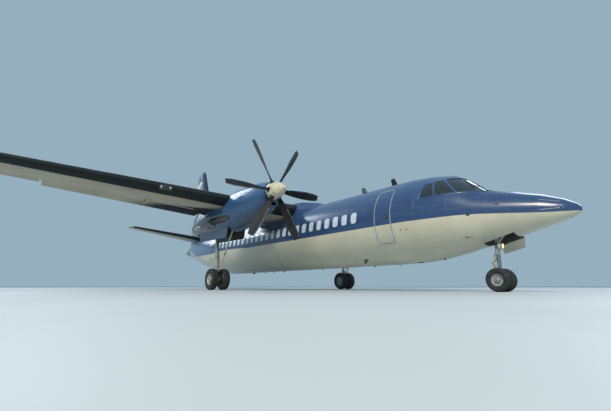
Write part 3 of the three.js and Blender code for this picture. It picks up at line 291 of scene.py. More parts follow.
def hull_blue_with_painted_highlight(paint, streaks):
    """Dark blue with a painted highlight that pales it up the hull and towards the tail."""
    # Painted highlight: the blue grows paler with height and towards the tail.
    aft = paint.rise(paint.station, 15.5, 18.5)
    blue = paint.mix(paint.rise(paint.height, 0.3, 1.25) * 0.5 + aft * 0.35, NAVY, BLUE)
    blue = paint.mix(paint.rise(paint.station, 15.5, 20.5) * 0.5, blue, PALE_BLUE)
    return paint.mix(paint.rise(streaks, 0.5, 0.9) * 0.25, blue, PALE_BLUE)


def border_height(paint):
    """Where the cream ends: nearly level, lower at the nose and climbing along the tail."""
    station = paint.station
    border = PAINT_BORDER + paint.rise(station, 13.0, 15.0) * 0.07 - paint.rise(station, 16.6, 17.6) * 0.07
    return border + paint.rise(station, 20.0, 23.6) * 0.75 - (1 - paint.rise(station, 0.1, 2.6)) * 0.16


print("trails on the belly:", len(TRAILS))

# %% [markdown]
# Seams and rivets are grids: one runs along the fuselage, the other round it by the length of the arc.
# A bump of a millimetre lets them catch the light. Thousands of modelled rivets would look the same
# from here and weigh far more. The walls of the nose bay and of the entrance belong to the same solids
# as the skin, so their places pick them out.

# %% Fuselage finish
FRAME_PITCH, LAP_ANGLE, RADOME_JOINT = 0.92, math.radians(36), 0.76
NOSE_BAY_FORE, NOSE_BAY_AFT, NOSE_BAY_HALF, NOSE_BAY_MOUTH = 1.397, 2.183, 0.322, -0.415
ENTRANCE_FORE, ENTRANCE_AFT, ENTRANCE_RADIUS = 4.79, 5.91, 1.3
HULL_SHELL = ["radome", "fuselage_cockpit", "fuselage_forward", "fuselage_centre", "fuselage_aft",
              "tail_cone", "service_door", "aft_door_port", "aft_door_starboard", "airstair"]


def rivet_rows(paint, along, round_hull, pitch, row_pitch):
    """Round rivet heads in rows, as a mask."""
    down, side = paint.off_grid(along, pitch), paint.off_grid(round_hull, row_pitch)
    off = (down * down + side * side) ** 0.5
    return 1 - paint.rise(off, 0.004, 0.007)


def nose_bay_inside(paint):
    """1 on the walls and roof of the nose wheel's bay."""
    room = paint.between(paint.station, NOSE_BAY_FORE, NOSE_BAY_AFT, 0.002)
    room = room * paint.between(paint.across, -NOSE_BAY_HALF, NOSE_BAY_HALF, 0.002)
    return room * (1 - paint.rise(paint.height, NOSE_BAY_MOUTH - 0.003, NOSE_BAY_MOUTH + 0.003))


def entrance_inside(paint):
    """1 on the walls of the entrance, which lie nearer to the axis than the skin does."""
    from_axis = (paint.across * paint.across + paint.height * paint.height) ** 0.5
    deep = 1 - paint.rise(from_axis, ENTRANCE_RADIUS, ENTRANCE_RADIUS + 0.001)
    return paint.between(paint.station, ENTRANCE_FORE, ENTRANCE_AFT, 0.002) * deep


def hull_finish():
    paint = Paint("hull_cream_and_blue")
    blots, streaks = paint.cloud(0.9, 4), paint.cloud(0.1, 4, stretch=(16, 1, 1))
    fine = paint.cloud(0.03, 2, shift=4.0)
    grime = hull_grime(paint, blots, streaks)
    upper = paint.rise(paint.height - border_height(paint), -0.006, 0.006)
    colour = paint.mix(upper, hull_cream(paint, blots, streaks, grime), hull_blue_with_painted_highlight(paint, streaks))
    angle = paint.node("ShaderNodeMath", {"operation": "ARCTAN2"}, {0: paint.height, 1: paint.span})
    arc = angle * HULL_RADIUS
    radome_joint = 1 - paint.rise(abs(paint.station - RADOME_JOINT), 0.003, 0.006)
    seams = paint.every(paint.station, FRAME_PITCH, 0.005) + radome_joint
    laps = paint.every(arc, LAP_ANGLE * HULL_RADIUS, 0.005)
    rivets = rivet_rows(paint, paint.station, arc, 0.046, LAP_ANGLE * HULL_RADIUS / 4)
    lines = paint.rise(seams + laps, 0.0, 1.0)
    colour = paint.mix(lines * 0.3 + rivets * 0.1, colour, CREAM_GRIME)
    inside = nose_bay_inside(paint)
    walls = paint.mix(paint.rise(fine, 0.3, 0.7) * 0.6, tint("4d5248"), tint("2b2e29"))
    colour = paint.mix(inside, colour, walls)
    lining = paint.mix(blots * 0.5, tint("c5c2b6"), tint("a9a698"))
    colour = paint.mix(entrance_inside(paint), colour, lining)
    rough = 0.3 + grime * 0.25 + fine * 0.08 - upper * 0.08 + inside * 0.3
    dents = paint.relief(rivets * 0.6 - lines + paint.cloud(0.5, 1, shift=9.0) * 2.0, 0.0012)
    return paint.surface(colour, rough, dents, Coat_Weight=0.35, Coat_Roughness=0.12)


def both(*parts):
    """The names of solids that come in pairs, port and starboard."""
    return [f"{part}_{side}" for part in parts for side in SIDE_NAMES.values()]


def dress(names, material):
    """Gives CAD solids a finish, in place of the plain one they came with."""
    for name in names:
        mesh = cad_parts[name].data
        mesh.materials.clear()
        mesh.materials.append(material)
    print(material.name, "on", len(names), "solids")


HULL_PAINT = hull_finish()
dress(HULL_SHELL + ["nose_bay_door"], HULL_PAINT)

# %% [markdown]
# ## Wing and tailplane paint
# From below a wing is a beige-grey sheet with black rubber boots along its leading edge: they swell to
# crack off ice. Share of the chord is the natural ruler here, so the finish works it out from the
# planform and draws boots, spar seams, rib seams and the soot that the exhaust blows over the outboard
# flap. The same recipe serves the tailplane with other numbers.

# %% Planforms
class Planform:
    """A tapered surface seen flat: how far it reaches, the leading edge's station and the chord at its
    root, and how much both change on the way to its tip."""

    def __init__(self, reach, lead, sweep, chord, taper):
        self.reach, self.lead, self.sweep = reach, lead, sweep
        self.chord, self.taper = chord, taper

    def lead_at(self, out):
        """Station of the leading edge at a distance out from the root."""
        return self.lead + self.sweep * (out / self.reach)

    def chord_at(self, out):
        return self.chord - self.taper * (out / self.reach)

    def share(self, station, out):
        """Share of the chord at a station. Both values may be wires."""
        t = out / self.reach
        return (station - self.lead - t * self.sweep) / (self.chord - t * self.taper)


WING = Planform(14.5, 9.6, 0.75, 3.464, 2.064)
TAILPLANE = Planform(4.875, 20.95, 1.13, 2.48, 1.52)
print("chord at the wing tip:", round(WING.chord_at(WING.reach), 3))

# %% [markdown]
# Dirt tells which way the air goes. Streaks are noise that is stretched along the chord, and the soot
# fans out behind each exhaust pipe as the plume does. The boots are ribbed by their air tubes, which a
# bump shows well enough at this size.

# %% Wing and tailplane finishes
BEIGE, BEIGE_DARK, WING_TOP = tint("b0a993"), tint("968e77"), tint("b8bab5")
BOOT, SOOT_AND_SHADE, SEALANT, SEAM_BROWN = tint("10181c"), tint("161f23"), tint("ddd8c4"), tint("6a6658")
NACELLE_OUT = 3.6


def wing_soot_and_nacelle_shade(paint, share, streaks):
    """Soot behind the exhaust pipe, wider towards the trailing edge, and a faint painted shade just inboard
    of the nacelle.
    """
    spread = paint.rise(share, 0.25, 0.95) * 2.4 + 0.8
    outboard = paint.span - NACELLE_OUT
    inboard = outboard * -1.0
    outer = paint.rise(outboard, -0.2, 0.15) * (1 - paint.rise(outboard / spread, 0.75, 1.2))
    # Painted shade: a faint dark band just inboard of the nacelle.
    inner = paint.rise(inboard, 0.2, 0.5) * (1 - paint.rise(inboard, 0.55, 0.95))
    return (outer + inner * 0.15) * paint.rise(share, 0.2, 0.45) * (0.85 + streaks * 0.35)


def slot_strip(paint, share):
    """The pale sealed lip ahead of the flaps."""
    inner = paint.between(paint.span, 1.44, 2.9, 0.01)
    outer = paint.between(paint.span, 4.7, 9.8, 0.01)
    return paint.between(share, 0.632, 0.668, 0.004) * (inner + outer)


def lifting_finish(name, plan, boot_edge, ribs, sooty, tip):
    """The finish of a wing or tailplane. Boots reach to a share of the chord and out to a tip, and rib
    seams lie at a pitch."""
    paint = Paint(name)
    share = plan.share(paint.station, paint.span)
    _, _, up = paint.axes(paint.facing)
    upper = paint.rise(up, -0.1, 0.1)
    blots, streaks = paint.cloud(0.9, 4), paint.cloud(0.1, 4, stretch=(12, 1, 1), shift=2.0)
    under = paint.mix(paint.rise(blots, 0.35, 0.75) * 0.5, BEIGE, BEIGE_DARK)
    colour = paint.mix(upper, under, WING_TOP)
    colour = paint.mix(paint.rise(streaks, 0.45, 0.85) * 0.3, colour, BEIGE_DARK)
    seams = paint.every(paint.span, ribs, 0.007) * paint.rise(share, boot_edge, boot_edge + 0.01)
    spars = 1 - paint.rise(abs(share - 0.2), 0.002, 0.004) * paint.rise(abs(share - 0.6), 0.002, 0.004)
    lines = paint.rise(seams + spars, 0.0, 1.0)
    colour = paint.mix(lines * 0.28, colour, SEAM_BROWN)
    rivets = rivet_rows(paint, paint.station, paint.span, 0.05, ribs / 4)
    colour = paint.mix(rivets * 0.1, colour, SEAM_BROWN)
    rough = 0.42 + streaks * 0.15
    if sooty:
        colour = paint.mix(slot_strip(paint, share) * (1 - upper) * 0.9, colour, SEALANT)
        # Soot behind each exhaust, with a faint painted shade inboard of each nacelle.
        soot_and_shade = wing_soot_and_nacelle_shade(paint, share, streaks) * (1 - upper * 0.8)
        colour = paint.mix(soot_and_shade, colour, SOOT_AND_SHADE)
        rough = rough + soot_and_shade * 0.2
    past = share - (boot_edge - upper * boot_edge * 0.35)
    before_tip = 1 - paint.rise(paint.span, tip - 0.02, tip)
    boot = (1 - paint.rise(past, -0.002, 0.002)) * before_tip
    edge = (1 - paint.rise(abs(past), 0.002, 0.005)) * before_tip
    colour = paint.mix(edge * 0.7, colour, SEALANT)
    colour = paint.mix(boot, colour, paint.mix(paint.rise(blots, 0.3, 0.8) * 0.5, BOOT, tint("232a2b")))
    tubes = paint.every(share, 0.018, 0.004) * boot
    relief = paint.relief(rivets * 0.5 - lines - tubes * 1.5 + boot * 0.8, 0.0012)
    return paint.surface(colour, rough + boot * 0.08, relief, Specular_IOR_Level=0.25)


WING_PAINT = lifting_finish("wing_grey", WING, 0.145, 0.62, True, 14.05)
TAIL_PAINT = lifting_finish("tailplane_grey", TAILPLANE, 0.2, 0.55, False, 4.7)
WING_NODES = ["wing_centre"] + both("wing_outer", "flap_inboard", "flap_outboard", "aileron")
TAIL_NODES = ["tailplane"] + both("elevator")
dress(WING_NODES, WING_PAINT)
dress(TAIL_NODES, TAIL_PAINT)

# %% [markdown]
# ## Fin, fairings and nacelles
# The fin is navy along its front and a lighter blue behind, crossed by plain slanted cream bands that
# run on over the rudder. Nacelles and the wing-root fairing are navy. A nacelle lives in exhaust, so
# its outboard flank is browned behind the pipe and its pointed tail ends in cream.

# %% Fin and fairing finishes
FIN_BLUE, BAND_CREAM = tint("4b6f9f"), tint("d0c9b2")
FIN_FOOT = 0.95
FIN = Planform(5.467, 20.08, 2.48, 4.42, 3.17)


def fin_finish():
    paint = Paint("fin_blue_with_bands")
    share = FIN.share(paint.station, paint.height - FIN_FOOT)
    blots, streaks = paint.cloud(0.6, 3), paint.cloud(0.1, 3, stretch=(9, 1, 1))
    blue = paint.mix(paint.rise(blots, 0.3, 0.8) * 0.4, FIN_BLUE, PALE_BLUE)
    blue = paint.mix(paint.rise(paint.height, 5.5, 5.75) * 0.7, blue, NAVY)
    slope = paint.height + (paint.station - 22.0) * 0.55
    bands = paint.rise(paint.off_grid(slope - 2.0, 0.94), 0.24, 0.252)
    area = paint.rise(share, 0.385, 0.39) * paint.between(paint.height, 1.75, 5.7, 0.01)
    colour = paint.mix(bands * area, blue, BAND_CREAM)
    front = 1 - paint.rise(share, 0.335, 0.34)
    dark = paint.mix(paint.rise(blots, 0.3, 0.8) * 0.4, tint("12243c"), tint("1f385c"))
    colour = paint.mix(front, colour, dark)
    seams = paint.every(paint.height, 0.74, 0.006) + paint.every(share * 4, 0.8, 0.004)
    lines = paint.rise(seams, 0.0, 1.0)
    colour = paint.mix(lines * 0.3 + paint.rise(streaks, 0.5, 0.9) * 0.15, colour, tint("26324a"))
    rivets = rivet_rows(paint, paint.station, paint.height, 0.05, 0.185)
    relief = paint.relief(rivets * 0.5 - lines, 0.0012)
    return paint.surface(colour, 0.42 + streaks * 0.12 + front * 0.15, relief, Specular_IOR_Level=0.15)


def fairing_finish(name, low, high):
    """Two blues in blots, streaked along the airflow, with sheet seams."""
    paint = Paint(name)
    blots, streaks = paint.cloud(0.5, 4), paint.cloud(0.08, 4, stretch=(10, 1, 1))
    colour = paint.mix(paint.rise(blots, 0.3, 0.8) * 0.6, low, high)
    colour = paint.mix(paint.rise(streaks, 0.5, 0.9) * 0.2, colour, PALE_BLUE)
    seams = paint.every(paint.station, 0.84, 0.006)
    colour = paint.mix(seams * 0.4, colour, tint("10182a"))
    relief = paint.relief(rivet_rows(paint, paint.station, paint.height, 0.05, 0.2) * 0.5 - seams, 0.0012)
    return paint.surface(colour, 0.28 + streaks * 0.15, relief, Coat_Weight=0.3, Coat_Roughness=0.15)


FIN_PAINT = fin_finish()
dress(["fin", "rudder"], FIN_PAINT)
dress(["wing_root_fairing"], fairing_finish("fairing_blue", NAVY, BLUE))
dress(["dorsal_fin"], fairing_finish("dorsal_blue", tint("35578a"), FIN_BLUE))

# %% [markdown]
# The nacelle's bay is part of the nacelle's own solid, and a bay door has a painted face and a primed
# one. Both need the same question answered at every point: is this the inside? For the bay the place
# tells, and for a door the way its surface faces.

# %% Nacelle finishes
FRONT_BAY, REAR_BAY, BAY_MOUTH = (9.998, 12.853, 0.3915), (12.84, 13.353, 0.3015), 0.332


def room(paint, off, fore, aft, half):
    """1 from one station to another, within a half width."""
    return paint.between(paint.station, fore, aft, 0.002) * (1 - paint.rise(off, half, half + 0.0015))


def gear_bay_inside(paint, outboard):
    """1 on the walls and roof of a main wheel's bay, whose rear is narrower."""
    off = abs(outboard)
    inside = room(paint, off, *FRONT_BAY) + room(paint, off, *REAR_BAY)
    return paint.rise(inside, 0.0, 0.5) * (1 - paint.rise(paint.height, BAY_MOUTH, BAY_MOUTH + 0.004))


def door_inner_face(paint, outboard):
    """1 on the face of a bay door that looks into the bay."""
    _, sideways, _ = paint.axes(paint.facing)
    away = sideways * paint.across / paint.span
    return 1 - paint.rise(away * outboard, -0.05, 0.05)


def nacelle_colour_with_highlight(paint, outboard, streaks, blots):
    """Navy with a painted highlight that lightens it up the flanks, a dark chin, and browning beside the
    exhaust pipe.
    """
    station, height = paint.station, paint.height
    # Painted highlight: the navy grows lighter with height up the flanks.
    colour = paint.mix(paint.rise(height, 0.1, 1.4) * 0.6 + blots * 0.2, tint("1f3f60"), tint("37628e"))
    chin = (1 - paint.rise(height, 0.1, 0.5)) * (1 - paint.rise(station, 8.6, 9.8))
    colour = paint.mix(chin * 0.5, colour, tint("151b22"))
    scorch = paint.rise(outboard, 0.1, 0.45) * paint.rise(station, 10.6, 11.4)
    scorch = scorch * paint.between(height, 0.1, 0.9, 0.2)
    return paint.mix(scorch * (0.5 + streaks * 0.5), colour, tint("2a241f"))


def nacelle_finish(name, inside_of):
    paint = Paint(name)
    station, height = paint.station, paint.height
    outboard = paint.span - NACELLE_OUT
    blots, streaks = paint.cloud(0.45, 4), paint.cloud(0.07, 4, stretch=(12, 1, 1), shift=3.0)
    oil = (1 - paint.rise(height, 0.0, 0.5)) * paint.rise(streaks, 0.45, 0.75)
    colour = paint.mix(oil * 0.3, nacelle_colour_with_highlight(paint, outboard, streaks, blots), tint("4c4a42"))
    tail_end = paint.rise(station - height * 0.5, 13.75, 13.77)
    sooted_cream = paint.mix(paint.rise(streaks, 0.4, 0.8) * 0.6, tint("cfc9b4"), tint("8d8674"))
    colour = paint.mix(tail_end, colour, sooted_cream)
    seams = paint.every(station - 0.38, 0.76, 0.006)
    belt = 1 - paint.rise(abs(height - 0.86), 0.003, 0.006)
    lines = paint.rise(seams + belt * (1 - paint.rise(station, 9.4, 9.5)), 0.0, 1.0)
    colour = paint.mix(lines * 0.5, colour, tint("0b111c"))
    rivets = rivet_rows(paint, station, height, 0.045, 0.19)
    inside = inside_of(paint, outboard)
    primer = paint.mix(paint.rise(blots, 0.3, 0.7) * 0.6, tint("3f463f"), tint("212523"))
    colour = paint.mix(inside, colour, primer)
    relief = paint.relief(rivets * 0.5 - lines, 0.0012)
    rough = 0.26 + streaks * 0.15 + oil * 0.15 + inside * 0.3
    return paint.surface(colour, rough, relief, Coat_Weight=0.4, Coat_Roughness=0.1)


NACELLE_NODES = both("engine_cowl", "nacelle")
NACELLE_PAINT = nacelle_finish("nacelle_navy", gear_bay_inside)
dress(NACELLE_NODES, NACELLE_PAINT)
dress(both("bay_door_outer", "bay_door_inner"), nacelle_finish("bay_door_navy", door_inner_face))

# %% [markdown]
# ## Rubber, metal, glass and blades
# The smaller parts need their own surfaces: chalky tyre rubber, oily grey gear paint, chromed sliding
# tubes, heat-stained exhaust steel, dark cockpit glass and matt propeller blades. Each recipe is short,
# because the shape does most of the work, but none is one flat colour.

# %% Finishes of the small parts
def speckled(name, low, high, size, rough, shift=0.0, metal=0.0, coat=0.0, grime=0.0, stretch=(1, 1, 1)):
    """Two colours in blots, with grime in finer blots and a faint relief."""
    paint = Paint(name)
    blots, fine = paint.cloud(size, 4, stretch, shift), paint.cloud(size / 6, 3, shift=shift + 1)
    colour = paint.mix(paint.rise(blots, 0.3, 0.7), tint(low), tint(high))
    colour = paint.mix(paint.rise(fine, 0.5, 0.8) * grime, colour, tint("2a2620"))
    relief, rough = paint.relief(fine, 0.0008), rough + fine * 0.15
    return paint.surface(colour, rough, relief, Metallic=metal, Coat_Weight=coat, Coat_Roughness=0.2)


def tyre_finish():
    paint = Paint("tyre_rubber_dusty")
    dust = paint.cloud(0.09, 4)
    colour = paint.mix(paint.rise(dust, 0.35, 0.75) * 0.6, tint("1b1f22"), tint("3b4044"))
    return paint.surface(colour, 0.72 + dust * 0.15, paint.relief(paint.cloud(0.006, 2), 0.0006))


HUB_Z = 3.292


def from_hub(paint):
    """Distance from the axis of the nearer propeller."""
    _, along, height = paint.axes(paint.place)
    side, up = abs(along) - NACELLE_OUT, height - HUB_Z
    return (side * side + up * up) ** 0.5


def blade_finish():
    paint = Paint("blade_matt_black")
    radius, wear = from_hub(paint), paint.cloud(0.05, 4, stretch=(1, 3, 3))
    black = paint.mix(paint.rise(wear, 0.4, 0.8) * 0.6, tint("14171a"), tint("2b2f33"))
    cuff = 1 - paint.rise(radius, 0.47, 0.475)
    colour = paint.mix(cuff, black, tint("0d0f10"))
    colour = paint.mix(paint.rise(radius, 0.9, 1.8) * 0.3, colour, tint("3a3f43"))
    rough, relief = 0.5 + wear * 0.15 + cuff * 0.2, paint.relief(wear, 0.0006)
    return paint.surface(colour, rough, relief, Specular_IOR_Level=0.25)


def spinner_finish():
    paint = Paint("spinner_cream")
    radius, blots, fine = from_hub(paint), paint.cloud(0.12, 4), paint.cloud(0.02, 3)
    colour = paint.mix(paint.rise(blots, 0.3, 0.7) * 0.6, tint("cdc7af"), tint("aca58d"))
    away = [paint.rise(abs(radius - ring), 0.002, 0.004) for ring in (0.262, 0.15)]
    rings = paint.rise(1 - away[0] * away[1], 0.0, 1.0)
    colour = paint.mix(rings * 0.55 + paint.rise(fine, 0.55, 0.8) * 0.25, colour, tint("6b6555"))
    return paint.surface(colour, 0.34 + blots * 0.15, paint.relief(rings * -1.0, 0.001), Coat_Weight=0.3)


def exhaust_finish():
    paint = Paint("exhaust_heat_stained")
    burn = paint.cloud(0.09, 4)
    along = paint.rise(paint.station, 9.8, 10.9)
    colour = paint.mix(along * 0.7 + burn * 0.3, tint("6b6a68"), tint("35302d"))
    colour = paint.mix(paint.rise(burn, 0.5, 0.8) * 0.4, colour, tint("4a5361"))
    return paint.surface(colour, 0.35 + burn * 0.2, paint.relief(burn, 0.0008), Metallic=0.8)


def gear_finish():
    paint = Paint("gear_grey_oiled")
    blots, fine = paint.cloud(0.12, 4), paint.cloud(0.015, 3, shift=2.0)
    _, _, height = paint.axes(paint.place)
    colour = paint.mix(paint.rise(blots, 0.3, 0.7) * 0.5, tint("b9bdb9"), tint("979c9a"))
    oil = paint.rise(paint.cloud(0.05, 3, stretch=(1, 1, 5), shift=5.0), 0.5, 0.72)
    colour = paint.mix(oil * 0.6, colour, tint("3c3a33"))
    low = 1 - paint.rise(height, 0.3, 1.1)
    colour = paint.mix(low * paint.rise(fine, 0.3, 0.7) * 0.45, colour, tint("5b5347"))
    return paint.surface(colour, 0.36 + blots * 0.2, paint.relief(fine, 0.0006), Coat_Weight=0.15)


def glass_finish(name, low, high):
    paint = Paint(name)
    haze = paint.cloud(0.12, 3)
    colour = paint.mix(paint.rise(haze, 0.3, 0.7), tint(low), tint(high))
    return paint.surface(colour, 0.05 + haze * 0.05, None, Specular_IOR_Level=0.8, Coat_Weight=0.6)


def lamp_finish(name, glass, glow, strength):
    paint = Paint(name)
    ribs, glass = paint.cloud(0.01, 2), tint(glass)
    colour = paint.mix(ribs, glass, [part * 0.8 for part in glass[:3]] + [1.0])
    lit = {"Emission_Color": tint(glow), "Emission_Strength": strength}
    return paint.surface(colour, 0.12 + ribs * 0.1, None, **lit)


EXHAUST_STEEL, GEAR_GREY, TYRE_RUBBER = exhaust_finish(), gear_finish(), tyre_finish()
COCKPIT_GLASS = glass_finish("cockpit_glass_dark", "0b1218", "1a2731")
# Painted reflection: the cabin panes are pale, standing for the bright sky that they mirror.
CABIN_GLASS_PAINTED_SKY = glass_finish("cabin_glass_painted_sky", "bccad6", "d0dbe4")
RIM_METAL = speckled("window_rim_metal", "8d99ab", "6d7a90", 0.05, 0.25, metal=0.6, grime=0.25)
SEAL_PALE = speckled("door_seal_pale", "c6cbd0", "a3a8a8", 0.2, 0.4, grime=0.3)
SEAL_GREY = speckled("door_seal_grey", "98a2aa", "7d8890", 0.2, 0.5, grime=0.3)
SEAL_CREAM = speckled("flap_seal_cream", "dcd7c3", "bdb7a2", 0.2, 0.45, grime=0.35, stretch=(1, 4, 1))
PANEL_BEIGE = speckled("tank_panel_beige", "b1ad9c", "989380", 0.2, 0.45, grime=0.3)
FAIRING_TAN = speckled("pipe_fairing_tan", "b9b09a", "8c8270", 0.15, 0.4, grime=0.5, stretch=(4, 1, 1))
CHROME = speckled("oleo_chrome", "a9aeb2", "82888c", 0.05, 0.2, metal=1.0, grime=0.3)
DARK_STEEL = speckled("dark_steel", "4b4d4f", "2d2e2f", 0.04, 0.45, metal=0.7, grime=0.5)
HOSE_BLACK = speckled("hose_black", "17181a", "2a2b2d", 0.03, 0.55)
ENGINE_METAL = speckled("engine_case", "76787a", "4c4e50", 0.1, 0.4, metal=0.8, grime=0.5)
BAY_GREEN = speckled("bay_primer", "5d6152", "3e4238", 0.12, 0.6, grime=0.6)
AERIAL_GREY = speckled("aerial_grey", "5a5d5f", "3d4042", 0.06, 0.45, grime=0.4)
WARM_LAMP = lamp_finish("landing_lamp", "c9b890", "ffcf80", 1.6)
RED_LAMP = lamp_finish("port_lamp_red", "a01818", "ff2a1a", 0.4)
BEACON_GLASS = lamp_finish("beacon_glass_dark", "4a1a16", "a02018", 0.05)
GREEN_LAMP = lamp_finish("starboard_lamp_green", "148040", "20ff70", 0.5)
CLEAR_LAMP = lamp_finish("clear_lamp", "cfc5ae", "fff0d8", 0.12)

dress(both("propeller"), blade_finish())
dress(both("spinner"), spinner_finish())
dress(both("exhaust"), EXHAUST_STEEL)
dress(both("engine"), ENGINE_METAL)
dress(["cockpit_glazing"], COCKPIT_GLASS)
dress([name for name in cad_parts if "leg" in name or "strut" in name or name in (
    "nose_fork", "nose_wheels", "main_port_wheels", "main_starboard_wheels")], GEAR_GREY)
dress([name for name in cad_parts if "tyre" in name], TYRE_RUBBER)
print("finishes:", len(bpy.data.materials))

# %% [markdown]
# ## Stock for small pieces
# Windows, seals, aerials, tyres and hoses are all rings of points joined by quads, so one helper makes
# them: it gathers rings, turned profiles and bent rods, and ends as one mesh with smooth sides and
# crisp corners. Many small parts in one mesh keep the scene light.

# %% The stock helper
def full_turn(count, start=0.0):
    """Evenly spaced angles all the way round."""
    return [2 * math.pi * (i + start) / count for i in range(count)]


class Stock:
    """Faces gathered for one piece."""

    def __init__(self):
        self.points = []
        self.faces = []

    def rings(self, rings, ends=True, loop=False):
        """Joins rings of points. Ends closes the first and last; loop joins them to each other."""
        start, count = len(self.points), len(rings[0])
        for ring in rings:
            self.points += [tuple(point) for point in ring]
        pairs = [(k, k + 1) for k in range(len(rings) - 1)] + ([(len(rings) - 1, 0)] if loop else [])
        for low, high in pairs:
            a, b = start + low * count, start + high * count
            for i in range(count):
                j = (i + 1) % count
                self.faces.append((a + i, a + j, b + j, b + i))
        if ends and not loop:
            last = start + (len(rings) - 1) * count
            self.faces.append(tuple(start + i for i in reversed(range(count))))
            self.faces.append(tuple(last + i for i in range(count)))
        return self

    def turned(self, foot, axis, profile, sides=32, loop=False):
        """A turned part. The profile gives (distance along the axis, radius)."""
        axis = axis.normalized()
        u = axis.orthogonal().normalized()
        v = axis.cross(u)
        arms = [u * math.cos(a) + v * math.sin(a) for a in full_turn(sides)]
        rings = [[foot + axis * along + arm * radius for arm in arms] for along, radius in profile]
        return self.rings(rings, loop=loop)

    def rod(self, path, radius, sides=8):
        """A round rod, pipe or hose along points, with a radius or one per point."""
        radii = list(radius) if hasattr(radius, "__len__") else [radius] * len(path)
        tangents = []
        for k, point in enumerate(path):
            before, after = path[max(k - 1, 0)], path[min(k + 1, len(path) - 1)]
            tangents.append((after - before).normalized())
        u = tangents[0].orthogonal().normalized()
        rings = []
        for point, tangent, r in zip(path, tangents, radii):
            u = (u - tangent * u.dot(tangent)).normalized()
            v = tangent.cross(u)
            rings.append([point + (u * math.cos(a) + v * math.sin(a)) * r for a in full_turn(sides)])
        return self.rings(rings)

    def slab(self, centre, u, v, outline, thick, bevel=0.002):
        """A flat plate with a bevelled edge. The outline is a function of its inset."""
        w, half = u.cross(v).normalized(), thick / 2
        rings = []
        for inset, lift in ((bevel, -half), (0.0, bevel - half), (0.0, half - bevel), (bevel, half)):
            rings.append([centre + u * a + v * b + w * lift for a, b in outline(inset)])
        return self.rings(rings)

    def piece(self, name, material, body, slot, angle=35.0):
        """Makes the mesh and lets it ride on a body of the frame."""
        mesh = bpy.data.meshes.new(name)
        mesh.from_pydata(self.points, [], self.faces)
        tidy = bmesh.new()
        tidy.from_mesh(mesh)
        bmesh.ops.recalc_face_normals(tidy, faces=tidy.faces[:])
        tidy.to_mesh(mesh)
        tidy.free()
        mesh.shade_smooth()
        mesh.set_sharp_from_angle(angle=math.radians(angle))
        mesh.materials.append(material)
        made = bpy.data.objects.new(name, mesh)
        bpy.context.scene.collection.objects.link(made)
        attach(made, body)
        print(name, "faces:", len(mesh.polygons))
        return made


def rounded(width, height, corner, steps=4, along=1):
    """A rectangle with round corners, as a function of its inset. Each straight side is cut into a
    number of lengths, so that it can bend with a skin."""
    def outline(inset=0.0):
        a, b, r = width / 2 - inset, height / 2 - inset, max(corner - inset, 0.001)
        arcs = []
        for quarter, (sx, sy) in enumerate(((1, 1), (-1, 1), (-1, -1), (1, -1))):
            x, y = sx * (a - r), sy * (b - r)
            turns = [math.pi / 2 * (quarter + step / steps) for step in range(steps + 1)]
            arcs.append([Vector((x + r * math.cos(t), y + r * math.sin(t))) for t in turns])
        points = []
        for quarter, arc in enumerate(arcs):
            after = arcs[(quarter + 1) % 4][0]
            points += arc + [arc[-1].lerp(after, i / along) for i in range(1, along)]
        return points
    return outline


def disc(radius_u, radius_v, sides=20):
    """An ellipse, as a function of its inset."""
    def outline(inset=0.0):
        a, b = radius_u - inset, radius_v - inset
        return [(a * math.cos(t), b * math.sin(t)) for t in full_turn(sides)]
    return outline


# %% [markdown]
# ## Laying pieces on a skin
# A window that floats a centimetre off the hull looks wrong at once. So each outline is dropped onto
# the solids along a direction, like a stencil held against the side: a ray finds the skin, and the
# point is raised by a few millimetres along the skin's normal.

# %% Skins and stencils
JOINT_STEP = 0.002


def skin_of(names):
    """A search tree over CAD solids."""
    points, faces = [], []
    for name in names:
        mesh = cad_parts[name].data
        start = len(points)
        points += [vertex.co.copy() for vertex in mesh.vertices]
        faces += [[start + i for i in face.vertices] for face in mesh.polygons]
    return BVHTree.FromPolygons(points, faces)


HULL_SKIN = skin_of(HULL_SHELL + ["cockpit_glazing"])
WING_SKIN, TAIL_SKIN = skin_of(WING_NODES), skin_of(TAIL_NODES)
NACELLE_SKIN, FIN_SKIN = skin_of(NACELLE_NODES), skin_of(["fin", "rudder"])


def landing(skin, point, aim, reach=4.0):
    """Where a ray along aim meets the skin, and the outward normal there. A ray that slips through the
    joint of two solids is tried again a step beside it."""
    for nudge in (Vector(), X * JOINT_STEP, Y * JOINT_STEP, Z * JOINT_STEP, (X + Y + Z) * -JOINT_STEP):
        hit, normal, _, _ = skin.ray_cast(point + nudge - aim * reach, aim)
        if hit is not None:
            return hit - nudge, -normal if normal.dot(aim) > 0 else normal
    raise ValueError(f"no skin at {tuple(round(c, 3) for c in point)}")


def stencil(stock, skin, centre, u, v, aim, outline, steps, loop=False):
    """Lays rings of an outline on a skin. Steps gives (inset, lift) for each ring."""
    rings = []
    for inset, lift in steps:
        ring = []
        for a, b in outline(inset):
            hit, normal = landing(skin, centre + u * a + v * b, aim)
            ring.append(hit + normal * lift)
        rings.append(ring)
    stock.rings(rings, loop=loop)


print("keel under station 12:", round(landing(HULL_SKIN, at_station(12, 0, -1), Z)[0].z, 3))

# %% [markdown]
# ## Cabin windows
# A row of small windows runs along the blue just above the border, two to each sheet of the skin. Each
# is a metal rim with a rounded pane a little behind it. The panes are painted pale as a painted
# reflection of the sky, so from below panes and rims together read as a row of pale strips.

